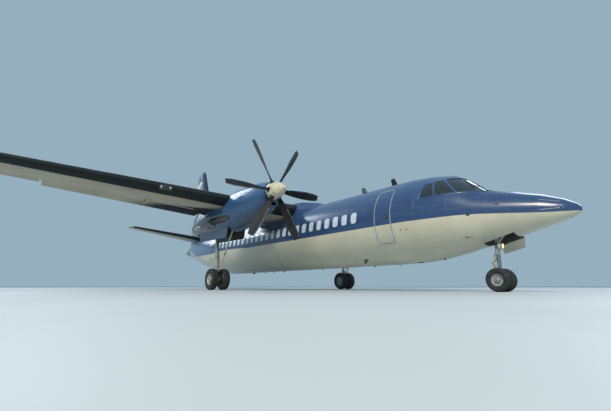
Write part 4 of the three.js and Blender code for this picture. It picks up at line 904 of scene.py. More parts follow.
# %% Windows
WINDOW_COUNT, WINDOW_PITCH, WINDOW_HEIGHT = 24, 0.458, 0.2
FIRST_WINDOW = {STARBOARD: 5.98, PORT: 6.05}
RIM_STEPS = [(-0.014, -0.004), (-0.014, 0.002), (-0.01, 0.004), (0.0, 0.004), (0.004, 0.001),
             (0.004, -0.004)]
PANE_STEPS = [(0.003, -0.004), (0.003, 0.002), (0.04, 0.0025), (0.08, 0.0025), (0.12, 0.0025)]
window = rounded(0.25, 0.37, 0.085, 4, 4)
rims, panes = Stock(), Stock()
for side, first in FIRST_WINDOW.items():
    for index in range(WINDOW_COUNT):
        centre = at_station(first + WINDOW_PITCH * index, 0, WINDOW_HEIGHT)
        stencil(rims, HULL_SKIN, centre, X, Z, Y * -side, window, RIM_STEPS, loop=True)
        stencil(panes, HULL_SKIN, centre, X, Z, Y * -side, window, PANE_STEPS)
rims.piece("cabin_window_rims", RIM_METAL, "airframe", "hull_paint")
panes.piece("cabin_window_panes", CABIN_GLASS_PAINTED_SKY, "airframe", "cockpit_glass")

# %% [markdown]
# ## Tyres
# The solid tyres are plain. An aircraft tyre has a rounded shoulder, straight grooves round its tread
# to shed water, and a bulged side wall that meets the rim in a bead. A turned profile with those
# grooves stands for each plain tyre and rides on the same axle.

# %% Grooved tyres
MAIN_RIM, NOSE_RIM, GROOVE_DEPTH = 0.222, 0.155, 0.01


def tyre_profile(radius, width, rim):
    """Half profile from the bead over the tread, then mirrored."""
    half, tall = width / 2, radius - rim
    profile = [(half * 0.62, rim), (half * 0.74, rim + 0.004), (half * 0.80, rim + 0.02)]
    for out, up in ((0.93, 0.32), (0.995, 0.52), (0.97, 0.72), (0.86, 0.88), (0.68, 0.965)):
        profile.append((half * out, rim + tall * up))
    for groove in (0.5, 0.17):
        centre, lip, foot = half * groove, half * 0.045, half * 0.045 * 0.8
        top = radius - tall * 0.03 * groove * groove
        low = top - GROOVE_DEPTH
        profile += [(centre + lip, top), (centre + foot, low), (centre - foot, low), (centre - lip, top)]
    return profile + [(-a, r) for a, r in reversed(profile)]


for name in sorted(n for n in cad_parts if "tyre" in n):
    low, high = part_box(name)
    middle, radius, width = (low + high) / 2, (high.z - low.z) / 2, high.y - low.y
    rim = NOSE_RIM if name.startswith("nose") else MAIN_RIM
    tyre = Stock().turned(middle, Y, tyre_profile(radius, width, rim), 72, loop=True)
    body = "nose_wheels" if name.startswith("nose") else f"main_wheels_{name.split('_')[1]}"
    made = tyre.piece(f"grooved_{name}", TYRE_RUBBER, body, "tyre_rubber", angle=50)
    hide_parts(name)

# %% [markdown]
# ## Strips and studs
# Two more ways of laying things on a skin. A ribbon is a flat strip that follows a route, such as a door
# seal or a window post: at each point a ray gives the skin's place and normal, and the strip is built
# across its own direction. A stud is a round or oval piece with a rise in its middle, for vents,
# drains and filler caps.

# %% Ribbons and studs
RIBBON_SINK = 0.004


def ribbon(stock, skin, route, width, thick, loop=False):
    """A flat strip along (point, aim) pairs."""
    spots = [landing(skin, point, aim) for point, aim in route]
    count, rings = len(spots), []
    for k, (hit, normal) in enumerate(spots):
        before = spots[(k - 1) % count if loop else max(k - 1, 0)][0]
        after = spots[(k + 1) % count if loop else min(k + 1, count - 1)][0]
        side = (after - before).cross(normal).normalized() * (width / 2)
        low, high = normal * -RIBBON_SINK, normal * thick
        rings.append([hit - side + low, hit - side + high * 0.5, hit - side * 0.7 + high,
                      hit + side * 0.7 + high, hit + side + high * 0.5, hit + side + low])
    stock.rings(rings, ends=not loop, loop=loop)


def stud(stock, skin, point, aim, u, v, radius_u, radius_v, rise, sides=16):
    """A round or oval piece on a skin, highest in its middle."""
    steps = [(0.0, -RIBBON_SINK), (0.0, rise * 0.4), (radius_v * 0.15, rise * 0.8), (radius_v * 0.5, rise)]
    stencil(stock, skin, point, u, v, aim, disc(radius_u, radius_v, sides), steps)


# %% [markdown]
# ## Doors
# Each door shows as a thin rubber seal with round corners, a recessed handle and, on the passenger
# side, a hinged stair. The seals of the fixed doors lie on the doors. The stair's seal lies on the hull
# round its opening, so that the stair can swing past it.

# %% Door seals and handles
SEAL_WIDTH, SEAL_RISE, SEAL_INSET, STAIR_SEAL_GAP = 0.034, 0.004, 0.024, 0.035
STAIR_FORE, STAIR_AFT, STAIR_FOOT = at_station(4.95).x, at_station(5.71).x, 1.56
DOOR_SIDES = {"service_door": STARBOARD, "aft_door_port": PORT, "aft_door_starboard": STARBOARD}
WELL_STEPS = [(0.0, -0.004), (0.0, 0.0015), (0.004, 0.002)]
GRIP_POINTS = [(-0.07, 0.006), (-0.03, 0.01), (0.06, 0.01), (0.075, 0.006)]


def even_steps(start, end, count):
    """Numbers from start to end, in a count of equal steps."""
    return [start + (end - start) * i / count for i in range(count + 1)]


seals, handles, handle_wells = Stock(), Stock(), Stock()
for name, side in DOOR_SIDES.items():
    low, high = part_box(name)
    centre, aim = Vector(((low.x + high.x) / 2, 0, (low.z + high.z) / 2)), Y * -side
    edge = rounded(high.x - low.x - 2 * SEAL_INSET, high.z - low.z - 2 * SEAL_INSET, 0.13, 6, 16)
    route = [(centre + X * a + Z * b, aim) for a, b in edge()]
    ribbon(seals, HULL_SKIN, route, SEAL_WIDTH, SEAL_RISE, loop=True)
    grip = centre + X * 0.17 - Z * 0.05
    stencil(handle_wells, HULL_SKIN, grip, X, Z, aim, rounded(0.2, 0.09, 0.03), WELL_STEPS)
    spot, normal = landing(HULL_SKIN, grip, aim)
    handles.rod([spot + normal * lift + X * along for along, lift in GRIP_POINTS], 0.009)
stair_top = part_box("airstair")[1].z
fore, aft, shoulder = STAIR_FORE + STAIR_SEAL_GAP, STAIR_AFT - STAIR_SEAL_GAP, stair_top - 0.05
stair_route = [(fore, z) for z in even_steps(STAIR_FOOT, shoulder, 24)]
stair_route += [(x, stair_top + STAIR_SEAL_GAP) for x in even_steps(fore, aft, 6)]
stair_route += [(aft, z) for z in even_steps(shoulder, STAIR_FOOT, 24)]
ribbon(seals, HULL_SKIN, [(Vector((x, 0, z)), -Y) for x, z in stair_route], SEAL_WIDTH, SEAL_RISE)
seals.piece("door_seals", SEAL_GREY, "airframe", "hull_paint")
handles.piece("door_handles", RIM_METAL, "airframe", "gear_paint")
handle_wells.piece("door_handle_wells", DARK_STEEL, "airframe", "gear_paint")

# %% [markdown]
# ## The airstair's inner face
# The stair is a door when it is up and steps when it is down. Its treads carry ribbed rubber pads on
# the faces that end up on top, and a chromed handrail stands along each side.

# %% Tread pads and handrails
STAIR_SWING, TREAD_RADIUS, TREAD_MIDDLE = math.radians(145), 1.282, 5.33
RAIL_STATIONS, RAIL_FOOT, RAIL_TOP = (5.013, 5.647), 1.15, 1.06
PAD_LIFT, PAD_PITCH, NOSING_AT = 0.027, 0.024, 0.181
tread_way = Vector((0, math.cos(STAIR_SWING), math.sin(STAIR_SWING)))
tread_up = Vector((0, -tread_way.z, tread_way.y))
pads, rails, noses = Stock(), Stock(), Stock()


def on_stair(degrees, radius, station):
    """A point of the stair by its angle round the hull."""
    angle = math.radians(degrees)
    return at_station(station, radius * math.cos(angle), radius * math.sin(angle))


for degrees in (-20, -5, 10, 25, 40):
    top = on_stair(degrees, TREAD_RADIUS, TREAD_MIDDLE) + tread_up * PAD_LIFT
    for strip in range(6):
        middle = top + tread_way * (0.035 + PAD_PITCH * strip)
        pads.slab(middle, X, tread_way, rounded(0.56, 0.016, 0.004, 2), 0.006, 0.0015)
    nosing = rounded(0.56, 0.012, 0.003, 2)
    noses.slab(top + tread_way * NOSING_AT, X, tread_way, nosing, 0.006, 0.0015)
for station in RAIL_STATIONS:
    curve = [on_stair(degrees, RAIL_TOP, station) for degrees in range(-18, 43, 6)]
    ends = [on_stair(degrees, RAIL_FOOT, station) for degrees in (-20, 45)]
    rails.rod([ends[0]] + curve + [ends[1]], 0.013, 10)
    for degrees in (-3, 12, 27):
        rails.rod([on_stair(degrees, RAIL_FOOT, station), on_stair(degrees, RAIL_TOP, station)], 0.008)
pads.piece("stair_tread_pads", HOSE_BLACK, "airstair", "tyre_rubber")
noses.piece("stair_nosings", SEAL_PALE, "airstair", "hull_paint")
rails.piece("stair_handrails", CHROME, "airstair", "gear_paint")

# %% [markdown]
# ## Cockpit windows
# The glass is one band wrapped round the nose. What makes it read as windows is the frame: a lip along
# the lower and upper edges, a post in the middle and slanted posts between the side panes. The posts
# follow rays that fan out from a point inside the cockpit, between the two edge lines of the band.

# %% Window frames and wipers
FAN_STATION, BROW_STATION = 3.3, 2.64
POSTS = [(0, 0, 0.06), (-47, -62, 0.07), (47, 62, 0.07), (-78, -84, 0.06), (78, 84, 0.06),
         (-102, -100, 0.05), (102, 100, 0.05)]


def band_low(station):
    """Height of the glass band's lower edge."""
    return 0.485 - 0.0316 * (station - 1.5)


def band_high(station):
    """Height of its upper edge, which is straight on the sides and lifts over the windscreen."""
    if station > BROW_STATION:
        return 1.01 - 0.157 * (station - BROW_STATION)
    return 1.01 + 0.21 * (BROW_STATION - station)


def band_spot(degrees, share):
    """A (point, aim) pair on the glass band: the way from the nose in degrees, and from low to high."""
    way = Vector((math.cos(math.radians(degrees)), math.sin(math.radians(degrees)), 0))
    station = 2.5
    for _ in range(8):
        height = band_low(station) * (1 - share) + band_high(station) * share
        point = at_station(FAN_STATION, 0, height)
        station = NOSE_X - landing(HULL_SKIN, point, -way)[0].x
    return point, -way


def over_glass(side, lift, spots):
    """Points a little above the glass on one side, from (degrees, share)."""
    path = []
    for degrees, share in spots:
        hit, normal = landing(HULL_SKIN, *band_spot(degrees * side, share))
        path.append(hit + normal * lift)
    return path


frames, wipers = Stock(), Stock()
for share, reach in ((0.0, 102), (1.0, 100)):
    route = [band_spot(degrees, share) for degrees in even_steps(-reach, reach, 44)]
    ribbon(frames, HULL_SKIN, route, 0.045, 0.008)
for low_way, high_way, width in POSTS:
    route = [band_spot(low_way + (high_way - low_way) * i / 8, i / 8) for i in range(9)]
    ribbon(frames, HULL_SKIN, route, width, 0.01)
for side in SIDE_NAMES:
    wipers.rod(over_glass(side, 0.022, [(9, 0.0), (11, 0.1), (16, 0.3), (22, 0.48)]), 0.008)
    wipers.rod(over_glass(side, 0.012, [(22, share) for share in (0.2, 0.4, 0.6, 0.76)]), 0.007)
frames.piece("cockpit_window_frames", HULL_PAINT, "airframe", "blue_paint")
wipers.piece("windscreen_wipers", HOSE_BLACK, "airframe", "gear_paint")

# %% [markdown]
# ## Drains and outlets
# The belly is dotted with small things: stubby drain masts on grey plates, a larger dark fitting on an
# oval plate and the outlets of the air system. A dark dot with a trail behind it is what the eye picks
# up from far away, so most masts stand at the head of a painted trail.

# %% Belly pieces
DRAINS = [(3.47, -0.1, 0.02), (7.67, -0.06, 0.022), (9.06, -0.04, 0.02), (11.88, -0.05, 0.032),
          (12.71, -0.06, 0.028), (13.59, -0.02, 0.028), (6.2, -0.08, 0.022), (10.4, 0.3, 0.014),
          (5.3, 0.22, 0.014)]
OUTLETS = [(19.95, -0.73, 0.06, 0.04), (19.95, 0.08, 0.11, 0.065), (0.21, -0.07, 0.02, 0.015)]
SIDE_VENTS = [(2.24, -0.22, 0.045, 0.028), (3.95, -0.42, 0.02, 0.02), (4.15, -0.42, 0.02, 0.02)]


def belly_stud(stock, station, across, length, breadth, rise):
    stud(stock, HULL_SKIN, at_station(station, across, -1), Z, X, Y, length, breadth, rise)


drains, drain_rings, outlets, outlet_rims = Stock(), Stock(), Stock(), Stock()
for station, across, radius in DRAINS:
    hit, normal = landing(HULL_SKIN, at_station(station, across, -1), Z)
    mast = [hit - normal * 0.01, hit + normal * 0.035, hit + normal * 0.06 - X * 0.02]
    drains.rod(mast, [radius, radius * 0.8, radius * 0.5])
    belly_stud(drain_rings, station, across, radius * 2.4, radius * 1.9, 0.003)
belly_stud(drain_rings, 4.26, -0.14, 0.11, 0.07, 0.004)
belly_stud(drains, 4.26, -0.14, 0.06, 0.035, 0.02)
for station, across, length, breadth in OUTLETS:
    belly_stud(outlet_rims, station, across, length + 0.014, breadth + 0.014, 0.006)
    belly_stud(outlets, station, across, length, breadth, 0.009)
belly_stud(outlet_rims, 16.21, -0.7, 0.035, 0.03, 0.006)
belly_stud(outlet_rims, 18.4, 0.74, 0.12, 0.05, 0.035)
for side in SIDE_NAMES:
    for station, height, length, breadth in SIDE_VENTS:
        stud(outlets, HULL_SKIN, at_station(station, 0, height), Y * -side, X, Z, length, breadth, 0.004)
drains.piece("belly_drains", DARK_STEEL, "airframe", "gear_paint")
drain_rings.piece("belly_drain_plates", AERIAL_GREY, "airframe", "hull_paint")
outlets.piece("air_outlets", HOSE_BLACK, "airframe", "gear_paint")
outlet_rims.piece("air_outlet_rims", SEAL_PALE, "airframe", "hull_paint")

# %% [markdown]
# ## Aerials and probes
# Blade aerials are thin swept fins that carry an antenna clear of the skin. One hangs under the belly,
# and two stand on the crown with a pair of flat discs. Beside the nose gear sit two bent tubes that
# measure the speed of the air, and a small vane on each side feels its angle.

# %% Blades, discs, tubes and vanes
BLADE_SHAPE = [(0.5, 0), (0.3, 0.8), (-0.1, 1), (-0.5, 0), (-0.1, -1), (0.3, -0.8)]
BLADE_RINGS = [(-0.1, 1.0, 0.016), (0.0, 1.0, 0.016), (0.6, 0.72, 0.012), (1.0, 0.5, 0.008)]
aerials = Stock()


def blade_aerial(stock, station, across, up, length, tall):
    """A thin swept blade, standing up or hanging down."""
    hit, _ = landing(HULL_SKIN, at_station(station, across, 0), Z * -up)
    rings = []
    for share, chord, thick in BLADE_RINGS:
        middle = hit + Z * (up * tall * share) - X * (length * 0.35 * share)
        rings.append([middle + X * (a * length * chord) + Y * (b * thick / 2) for a, b in BLADE_SHAPE])
    stock.rings(rings)


blade_aerial(aerials, 6.05, -0.68, -1, 0.2, 0.14)
for station in (6.6, 15.2):
    blade_aerial(aerials, station, 0.0, 1, 0.32, 0.3)
for station in (5.6, 7.5):
    stud(aerials, HULL_SKIN, at_station(station, 0, 1), -Z, X, Y, 0.1, 0.07, 0.025)
for side in SIDE_NAMES:
    root, normal = landing(HULL_SKIN, at_station(2.44, 0.7 * side, -1), Z)
    outward = (normal + Y * side * 0.6).normalized()
    mast = root + outward * 0.09
    tube = [root - outward * 0.01, root + outward * 0.05, mast, mast + X * 0.05, mast + X * 0.2]
    aerials.rod(tube, [0.014, 0.011, 0.01, 0.01, 0.006], 10)
    vane, normal = landing(HULL_SKIN, at_station(1.55, 0, -0.02), Y * -side)
    aerials.rod([vane - normal * 0.01, vane + normal * 0.03], 0.012, 10)
    aerials.rod([vane + normal * 0.03, vane + normal * 0.035 - X * 0.11], [0.012, 0.004], 6)
aerials.piece("aerials_and_probes", AERIAL_GREY, "airframe", "gear_paint")

# %% [markdown]
# ## Beacons and radome strips
# Red anti-collision lamps sit under the belly and on the crown, each in a pale ring. The nose cone
# carries thin metal strips that lead lightning to the hull, laid like meridians from its joint forward.

# %% Beacons and strips
beacon_rings, beacons, strips = Stock(), Stock(), Stock()
for station, across, up in ((15.02, 0.11, -1), (14.95, 0.0, 1)):
    place = at_station(station, across, up)
    stud(beacon_rings, HULL_SKIN, place, Z * -up, X, Y, 0.16, 0.13, 0.012, 24)
    hit, _ = landing(HULL_SKIN, place, Z * -up)
    beacons.turned(hit, Z * up, [(0.0, 0.075), (0.03, 0.07), (0.055, 0.05), (0.068, 0.02)], 20)
for degrees in (-70, -35, 0, 35, 70, 110, 145, 180, 215, 250):
    angle = math.radians(degrees)
    inward = -(Y * math.cos(angle) + Z * math.sin(angle))
    route = [(at_station(0.73 - 0.09 * i, 0, -0.27), inward) for i in range(6)]
    ribbon(strips, HULL_SKIN, route, 0.01, 0.0015)
beacon_rings.piece("beacon_rings", SEAL_PALE, "airframe", "hull_paint")
beacons.piece("beacon_lamps", BEACON_GLASS, "airframe", "cockpit_glass")
strips.piece("radome_strips", SEAL_PALE, "airframe", "hull_paint")

# %% [markdown]
# ## Propellers and spinners
# Six matt black blades come out of a cream spinner. Their roots sit in dark collars, the leading edges
# have a metal strip against sand, and the spinner is held by a ring of small screws at its base. All of
# it turns with the propeller, so each mesh rides on that body.

# %% Collars, edge strips and screws
HUB_X, BLADE_COUNT, SCREW_COUNT = 5.265, 6, 36
COLLAR = [(0.0, 0.082), (0.03, 0.082), (0.036, 0.074), (0.036, 0.06), (0.06, 0.06), (0.064, 0.052),
          (0.08, 0.052), (0.08, 0.04), (0.0, 0.04)]
BLADE_ROWS = [(0.72, 0.249, 46, 0.030), (0.95, 0.277, 40, 0.025), (1.15, 0.300, 35, 0.020),
              (1.4, 0.284, 31, 0.016), (1.6, 0.270, 27, 0.013), (1.79, 0.204, 24.4, 0.0095)]
STRIP_SHAPE = [(0.5035, 0.0), (0.49, 0.13), (0.36, 0.42), (0.36, 0.36), (0.36, -0.36), (0.36, -0.42),
               (0.49, -0.13)]
STRIP_RISE = 0.0006


def edge_strip(root, out, around):
    """Rings of the metal strip on a blade's leading edge. A row of the blade gives its radius, chord,
    pitch and thickness."""
    rings = []
    for radius, chord, pitch, thick in BLADE_ROWS:
        turn = math.radians(pitch)
        along = X * math.sin(turn) + around * math.cos(turn)
        across = X * math.cos(turn) - around * math.sin(turn)
        middle = root + out * radius
        rings.append([middle + along * (a * chord) + across * (b * thick + math.copysign(STRIP_RISE, b))
                      for a, b in STRIP_SHAPE])
    return rings


for side, label in SIDE_NAMES.items():
    hub = Vector((HUB_X, NACELLE_OUT * side, HUB_Z))
    collars, strips, screws = Stock(), Stock(), Stock()
    for angle in full_turn(BLADE_COUNT, 0.5):
        out = Vector((0, -math.sin(angle) * side, math.cos(angle)))
        around = Vector((0, math.cos(angle) * side, math.sin(angle)))
        collars.turned(hub + out * 0.262, out, COLLAR, 24, loop=True)
        strips.rings(edge_strip(hub, out, around))
    for angle in full_turn(SCREW_COUNT, 0.25):
        out = Vector((0, math.sin(angle), math.cos(angle)))
        seat = hub + X * -0.15 + out * 0.2965
        screws.turned(seat, out, [(0.0, 0.007), (0.004, 0.0065), (0.0055, 0.003)], 8)
    body = f"propeller_{label}"
    collars.piece(f"blade_collars_{label}", DARK_STEEL, body, "blade_black")
    strips.piece(f"blade_edge_strips_{label}", ENGINE_METAL, body, "engine_metal")
    screws.piece(f"spinner_screws_{label}", DARK_STEEL, body, "engine_metal")

# %% [markdown]
# ## Nacelles
# Each nacelle is a long navy pod. Below the spinner is the oval air intake with a worn metal lip. The
# cowl opens in panels, so it has toggle latches in rows, and louvres let the hot air out. A heat shield
# of bare steel protects the skin from the exhaust, and a long tan blister lies farther aft.

# %% Intake lip, latches, louvres and heat shield
MOUTH_STATION, MOUTH_HEIGHT, MOUTH_HALF, MOUTH_TALL = 7.56, 0.69, 0.19, 0.08
LIP_OFF, LIP_RADIUS = 0.008, 0.016
LATCH_STEPS = [(0.0, -0.003), (0.0, 0.003), (0.003, 0.005)]
SHIELD_STEPS = [(0.0, -0.003), (0.0, 0.003), (0.004, 0.005)]
FAIRING_STEPS = [(0.0, -0.004), (0.0, 0.006), (0.02, 0.028), (0.05, 0.04)]


def intake_lip(centre_y):
    """Rings of a round bead that runs along the edge of the intake."""
    rings = []
    for a in full_turn(36):
        across = centre_y + (MOUTH_HALF + LIP_OFF) * math.cos(a)
        spot = at_station(MOUTH_STATION, across, MOUTH_HEIGHT + (MOUTH_TALL + LIP_OFF) * math.sin(a))
        out = Vector((0, math.cos(a), math.sin(a) * 1.4)).normalized()
        rings.append([spot + out * (LIP_RADIUS * math.cos(b)) + X * (0.004 + LIP_RADIUS * math.sin(b))
                      for b in full_turn(10)])
    return rings


def louvre(stock, place, aim):
    """A pressed slot in the cowl, whose lip leans aft as it rises."""
    rings = []
    for inset, lift in ((0.0, -0.004), (0.0, 0.004), (0.008, 0.016)):
        ring = []
        for a, b in rounded(0.045, 0.24, 0.02, 2)(inset):
            hit, normal = landing(NACELLE_SKIN, place + X * (a - lift * 1.2) + Z * b, aim)
            ring.append(hit + normal * lift)
        rings.append(ring)
    stock.rings(rings)


for side, label in SIDE_NAMES.items():
    centre_y = NACELLE_OUT * side
    lips, latches, louvres, shields, fairings, grilles = (Stock() for _ in range(6))
    lips.rings(intake_lip(centre_y), ends=False, loop=True)
    for off in (-0.136, -0.068, 0.0, 0.068, 0.136):
        reach = MOUTH_TALL * math.sqrt(1 - (off / MOUTH_HALF) ** 2) - 0.004
        grilles.rod([at_station(MOUTH_STATION + 0.09, centre_y + off, MOUTH_HEIGHT + end)
                     for end in (-reach, reach)], 0.005, 6)
    for aim in (-Y, Y):
        for station in (7.9, 8.25, 8.6, 8.95, 9.3):
            for height in (0.42, 1.22):
                place = at_station(station, centre_y, height)
                latch = rounded(0.075, 0.03, 0.008, 2)
                stencil(latches, NACELLE_SKIN, place, X, Z, aim, latch, LATCH_STEPS)
        for slat in range(6):
            louvre(louvres, at_station(8.72 + 0.06 * slat, centre_y, 0.98), aim)
    place = at_station(11.3, centre_y, 0.42)
    stencil(shields, NACELLE_SKIN, place, X, Z, Y * -side, rounded(0.85, 0.34, 0.1, 4), SHIELD_STEPS)
    place = at_station(12.92, centre_y, 0.43)
    stencil(fairings, NACELLE_SKIN, place, X, Z, Y * -side, disc(0.6, 0.085, 28), FAIRING_STEPS)
    lips.piece(f"intake_lip_{label}", RIM_METAL, "airframe", "engine_metal")
    grilles.piece(f"intake_bars_{label}", DARK_STEEL, "airframe", "engine_metal")
    latches.piece(f"cowl_latches_{label}", DARK_STEEL, "airframe", "engine_metal")
    louvres.piece(f"cowl_louvres_{label}", NACELLE_PAINT, "airframe", "blue_paint")
    shields.piece(f"heat_shield_{label}", EXHAUST_STEEL, "airframe", "exhaust_steel")
    fairings.piece(f"tail_pipe_fairing_{label}", FAIRING_TAN, "airframe", "hull_paint")

# %% [markdown]
# ## Inside the wheel bays
# The open bays are dark, but not empty: frames cross the roof and pipes run along it. The main wheels'
# doors have pressed stiffeners on their inner faces. They catch just enough light to give a bay depth.

# %% Frames, pipes and door stiffeners
BAY_ROOF, BAY_HALF = 0.33, 0.388
PIPES = [(-0.3, 0.055, 0.012), (-0.26, 0.05, 0.008), (0.3, 0.06, 0.014), (0.25, 0.05, 0.008),
         (0.2, 0.05, 0.006)]
NOSE_PIPES = [(-0.24, 0.012), (-0.2, 0.008), (0.25, 0.012), (0.19, 0.007)]


def stiffen(stock, door, inward):
    """Five upright ribs and a long one on the inner face of a door."""
    low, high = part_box(door)
    wide, tall = high.x - low.x, high.z - low.z
    face = (low.y if inward < 0 else high.y) + 0.004 * inward
    for share in (0.12, 0.3, 0.5, 0.7, 0.88):
        middle = Vector((low.x + wide * share, face, low.z + tall * 0.58))
        stock.slab(middle, X, Z, rounded(0.03, tall * 0.6, 0.006, 1), 0.012)
    middle = Vector(((low.x + high.x) / 2, face, high.z - 0.06))
    stock.slab(middle, X, Z, rounded(wide * 0.86, 0.03, 0.006, 1), 0.012)


for side, label in SIDE_NAMES.items():
    centre_y = NACELLE_OUT * side
    ribs, pipes, stiffeners = Stock(), Stock(), Stock()
    for station in (10.25, 10.6, 10.95, 11.3, 12.25, 12.6):
        beam = at_station(station, centre_y, BAY_ROOF - 0.02)
        ribs.slab(beam, Y, Z, rounded(2 * BAY_HALF, 0.04, 0.003, 1), 0.02)
        for flank in (1, -1):
            post = at_station(station, centre_y + flank * (BAY_HALF - 0.015), BAY_ROOF - 0.17)
            ribs.slab(post, Y, Z, rounded(0.03, 0.3, 0.003, 1), 0.02)
    for off, low, radius in PIPES:
        path = []
        for station in even_steps(10.02, 12.82, 14):
            sag = 0.012 * math.sin(station * 4)
            path.append(at_station(station, centre_y + off + sag, BAY_ROOF - low))
        pipes.rod(path, radius)
    stiffen(stiffeners, f"bay_door_outer_{label}", -side)
    stiffen(stiffeners, f"bay_door_inner_{label}", side)
    ribs.piece(f"bay_frames_{label}", BAY_GREEN, "airframe", "gear_paint")
    pipes.piece(f"bay_pipes_{label}", ENGINE_METAL, "airframe", "gear_paint")
    stiffeners.piece(f"bay_door_stiffeners_{label}", BAY_GREEN, "airframe", "gear_paint")
nose_ribs = Stock()
for station in (1.52, 1.66, 1.82, 2.1):
    nose_ribs.slab(at_station(station, 0, -0.44), Y, Z, rounded(0.62, 0.04, 0.003, 1), 0.02)
for across, radius in NOSE_PIPES:
    nose_ribs.rod([at_station(1.42 + 0.12 * i, across, -0.475) for i in range(7)], radius)
nose_ribs.piece("nose_bay_frames", BAY_GREEN, "airframe", "gear_paint")

# %% [markdown]
# ## Landing gear
# A gear leg is a shock absorber: a chromed piston slides in a painted sleeve, so that bright band above
# the axle is its signature. Around it run brake hoses held by clamps, pins with nuts join the folding
# links, and inside each main wheel sits a pack of brake discs with small round pistons. The discs are
# fixed to the leg. Hub caps, vent holes and nuts belong to the wheel and turn with it.

# %% Profiles and curves for the gear
AXLE_X, AXLE_Z, LEG_RAKE = 1.065, 0.425, 0.1378
BRAKE_PACK = [(0.074, 0.052), (0.074, 0.14), (0.09, 0.168), (0.108, 0.172), (0.11, 0.165), (0.12, 0.165),
              (0.122, 0.174), (0.14, 0.174), (0.142, 0.165), (0.152, 0.165), (0.154, 0.174),
              (0.172, 0.174), (0.174, 0.165), (0.184, 0.165), (0.186, 0.172), (0.2, 0.17), (0.204, 0.11),
              (0.1, 0.1), (0.1, 0.052)]
PIN_HEAD = [(0.0, 0.012), (0.004, 0.019), (0.012, 0.019), (0.014, 0.012)]
BRAKE_PISTON = [(0.0, 0.02), (0.016, 0.02), (0.02, 0.017), (0.02, 0.008), (0.028, 0.007)]


def on_leg(side, height):
    """A point on the raked main leg's middle line."""
    return Vector((AXLE_X - (height - AXLE_Z) * LEG_RAKE, NACELLE_OUT * side, height))


def band(radius, length, bevel, step):
    """The profile of a clamp or plain pin, whose ends are lower by a step."""
    return [(0.0, radius - step), (bevel, radius), (length - bevel, radius), (length, radius - step)]


def headed_pin(length):
    """The profile of a pin with a head at one end and a nut at the other."""
    return PIN_HEAD + [(length - along, radius) for along, radius in reversed(PIN_HEAD)]


def bent(path, steps=4):
    """A smooth curve through all points of a path, as a hose lies between its clamps."""
    smooth = []
    for k in range(len(path) - 1):
        before, start, end = path[max(k - 1, 0)], path[k], path[k + 1]
        after = path[min(k + 2, len(path) - 1)]
        bow = 2 * before - 5 * start + 4 * end - after
        twist = 3 * start - before - 3 * end + after
        for t in (step / steps for step in range(steps)):
            smooth.append(0.5 * (2 * start + (end - before) * t + bow * t * t + twist * t ** 3))
    return smooth + [path[-1]]


print("top of the leg's piston:", tuple(round(c, 3) for c in on_leg(PORT, 0.79)))

# %% [markdown]
# One leg is described once and built on both sides. A row of each table gives a height on the leg and
# how far a piece stands off it, so clamps, pins and hoses all follow the rake.

# %% Chromed pistons, brakes and hoses
STRUT_FOOT, STRUT_TOP = (1.255, 0.9), (2.425, 2.53)
LEG_CLAMPS = [(1.3, 0.0865), (1.36, 0.0855), (1.9, 0.086), (0.925, 0.0905)]
LINK_PINS = [(0.87, 0.02, 0.058), (0.665, 0.222, 0.052), (0.472, 0.03, 0.056)]
HOSE = [(2.2, 0.086, 0.035), (1.8, 0.094, 0.035), (1.35, 0.1, 0.035), (1.0, 0.09, 0.05),
        (0.86, 0.115, 0.065), (0.74, 0.125, 0.075), (0.64, 0.1, 0.08), (0.575, 0.05, 0.085)]
for side, label in SIDE_NAMES.items():
    foot, top = on_leg(side, 0.53), on_leg(side, 0.79)
    rise = (top - foot).normalized()
    pistons, brakes, brake_pistons, hoses, clamps, pins = (Stock() for _ in range(6))
    pistons.turned(foot, rise, [(0.0, 0.0495), (0.26, 0.0495)], 32)
    for height, radius in LEG_CLAMPS:
        clamps.turned(on_leg(side, height), rise, band(radius, 0.018, 0.002, 0.004), 28)
    centre = Vector((AXLE_X, NACELLE_OUT * side, AXLE_Z))
    for flank in (1, -1):
        brakes.turned(centre, Y * flank, BRAKE_PACK, 36, loop=True)
        for angle in full_turn(7, 0.5):
            spot = centre + Vector((math.cos(angle), 0, math.sin(angle))) * 0.118 + Y * (flank * 0.078)
            brake_pistons.turned(spot, Y * -flank, BRAKE_PISTON, 12)
        route = [on_leg(side, height) + X * fore + Y * (flank * off) for height, fore, off in HOSE]
        hoses.rod(bent(route), 0.009)
    for height, back, reach in LINK_PINS:
        spot = on_leg(side, height) - X * back - Y * reach
        pins.turned(spot, Y, headed_pin(2 * reach), 12)
    strut_eye = Vector((STRUT_FOOT[0], NACELLE_OUT * side - 0.046, 0.875))
    pins.turned(strut_eye, Y, band(0.026, 0.092, 0.004, 0.01), 12)
    low, high = (Vector((x, NACELLE_OUT * side, z)) for x, z in (STRUT_FOOT, STRUT_TOP))
    for share in (0.3, 0.33, 0.86):
        clamps.turned(low + (high - low) * share, high - low, band(0.041, 0.025, 0.003, 0.004), 20)
    pistons.piece(f"leg_piston_{label}", CHROME, "airframe", "gear_paint")
    brakes.piece(f"brake_discs_{label}", DARK_STEEL, "airframe", "gear_paint")
    brake_pistons.piece(f"brake_pistons_{label}", ENGINE_METAL, "airframe", "gear_paint")
    hoses.piece(f"brake_hoses_{label}", HOSE_BLACK, "airframe", "gear_paint", angle=60)
    clamps.piece(f"leg_clamps_{label}", ENGINE_METAL, "airframe", "gear_paint")
    pins.piece(f"link_pins_{label}", DARK_STEEL, "airframe", "gear_paint")

# %% [markdown]
# ## Wheels
# The outer face of a wheel shows a hub cap, a ring of nuts and a ring of oval holes that let the brakes
# cool. They are made once for a wheel of any size and laid on both outer faces of each pair.

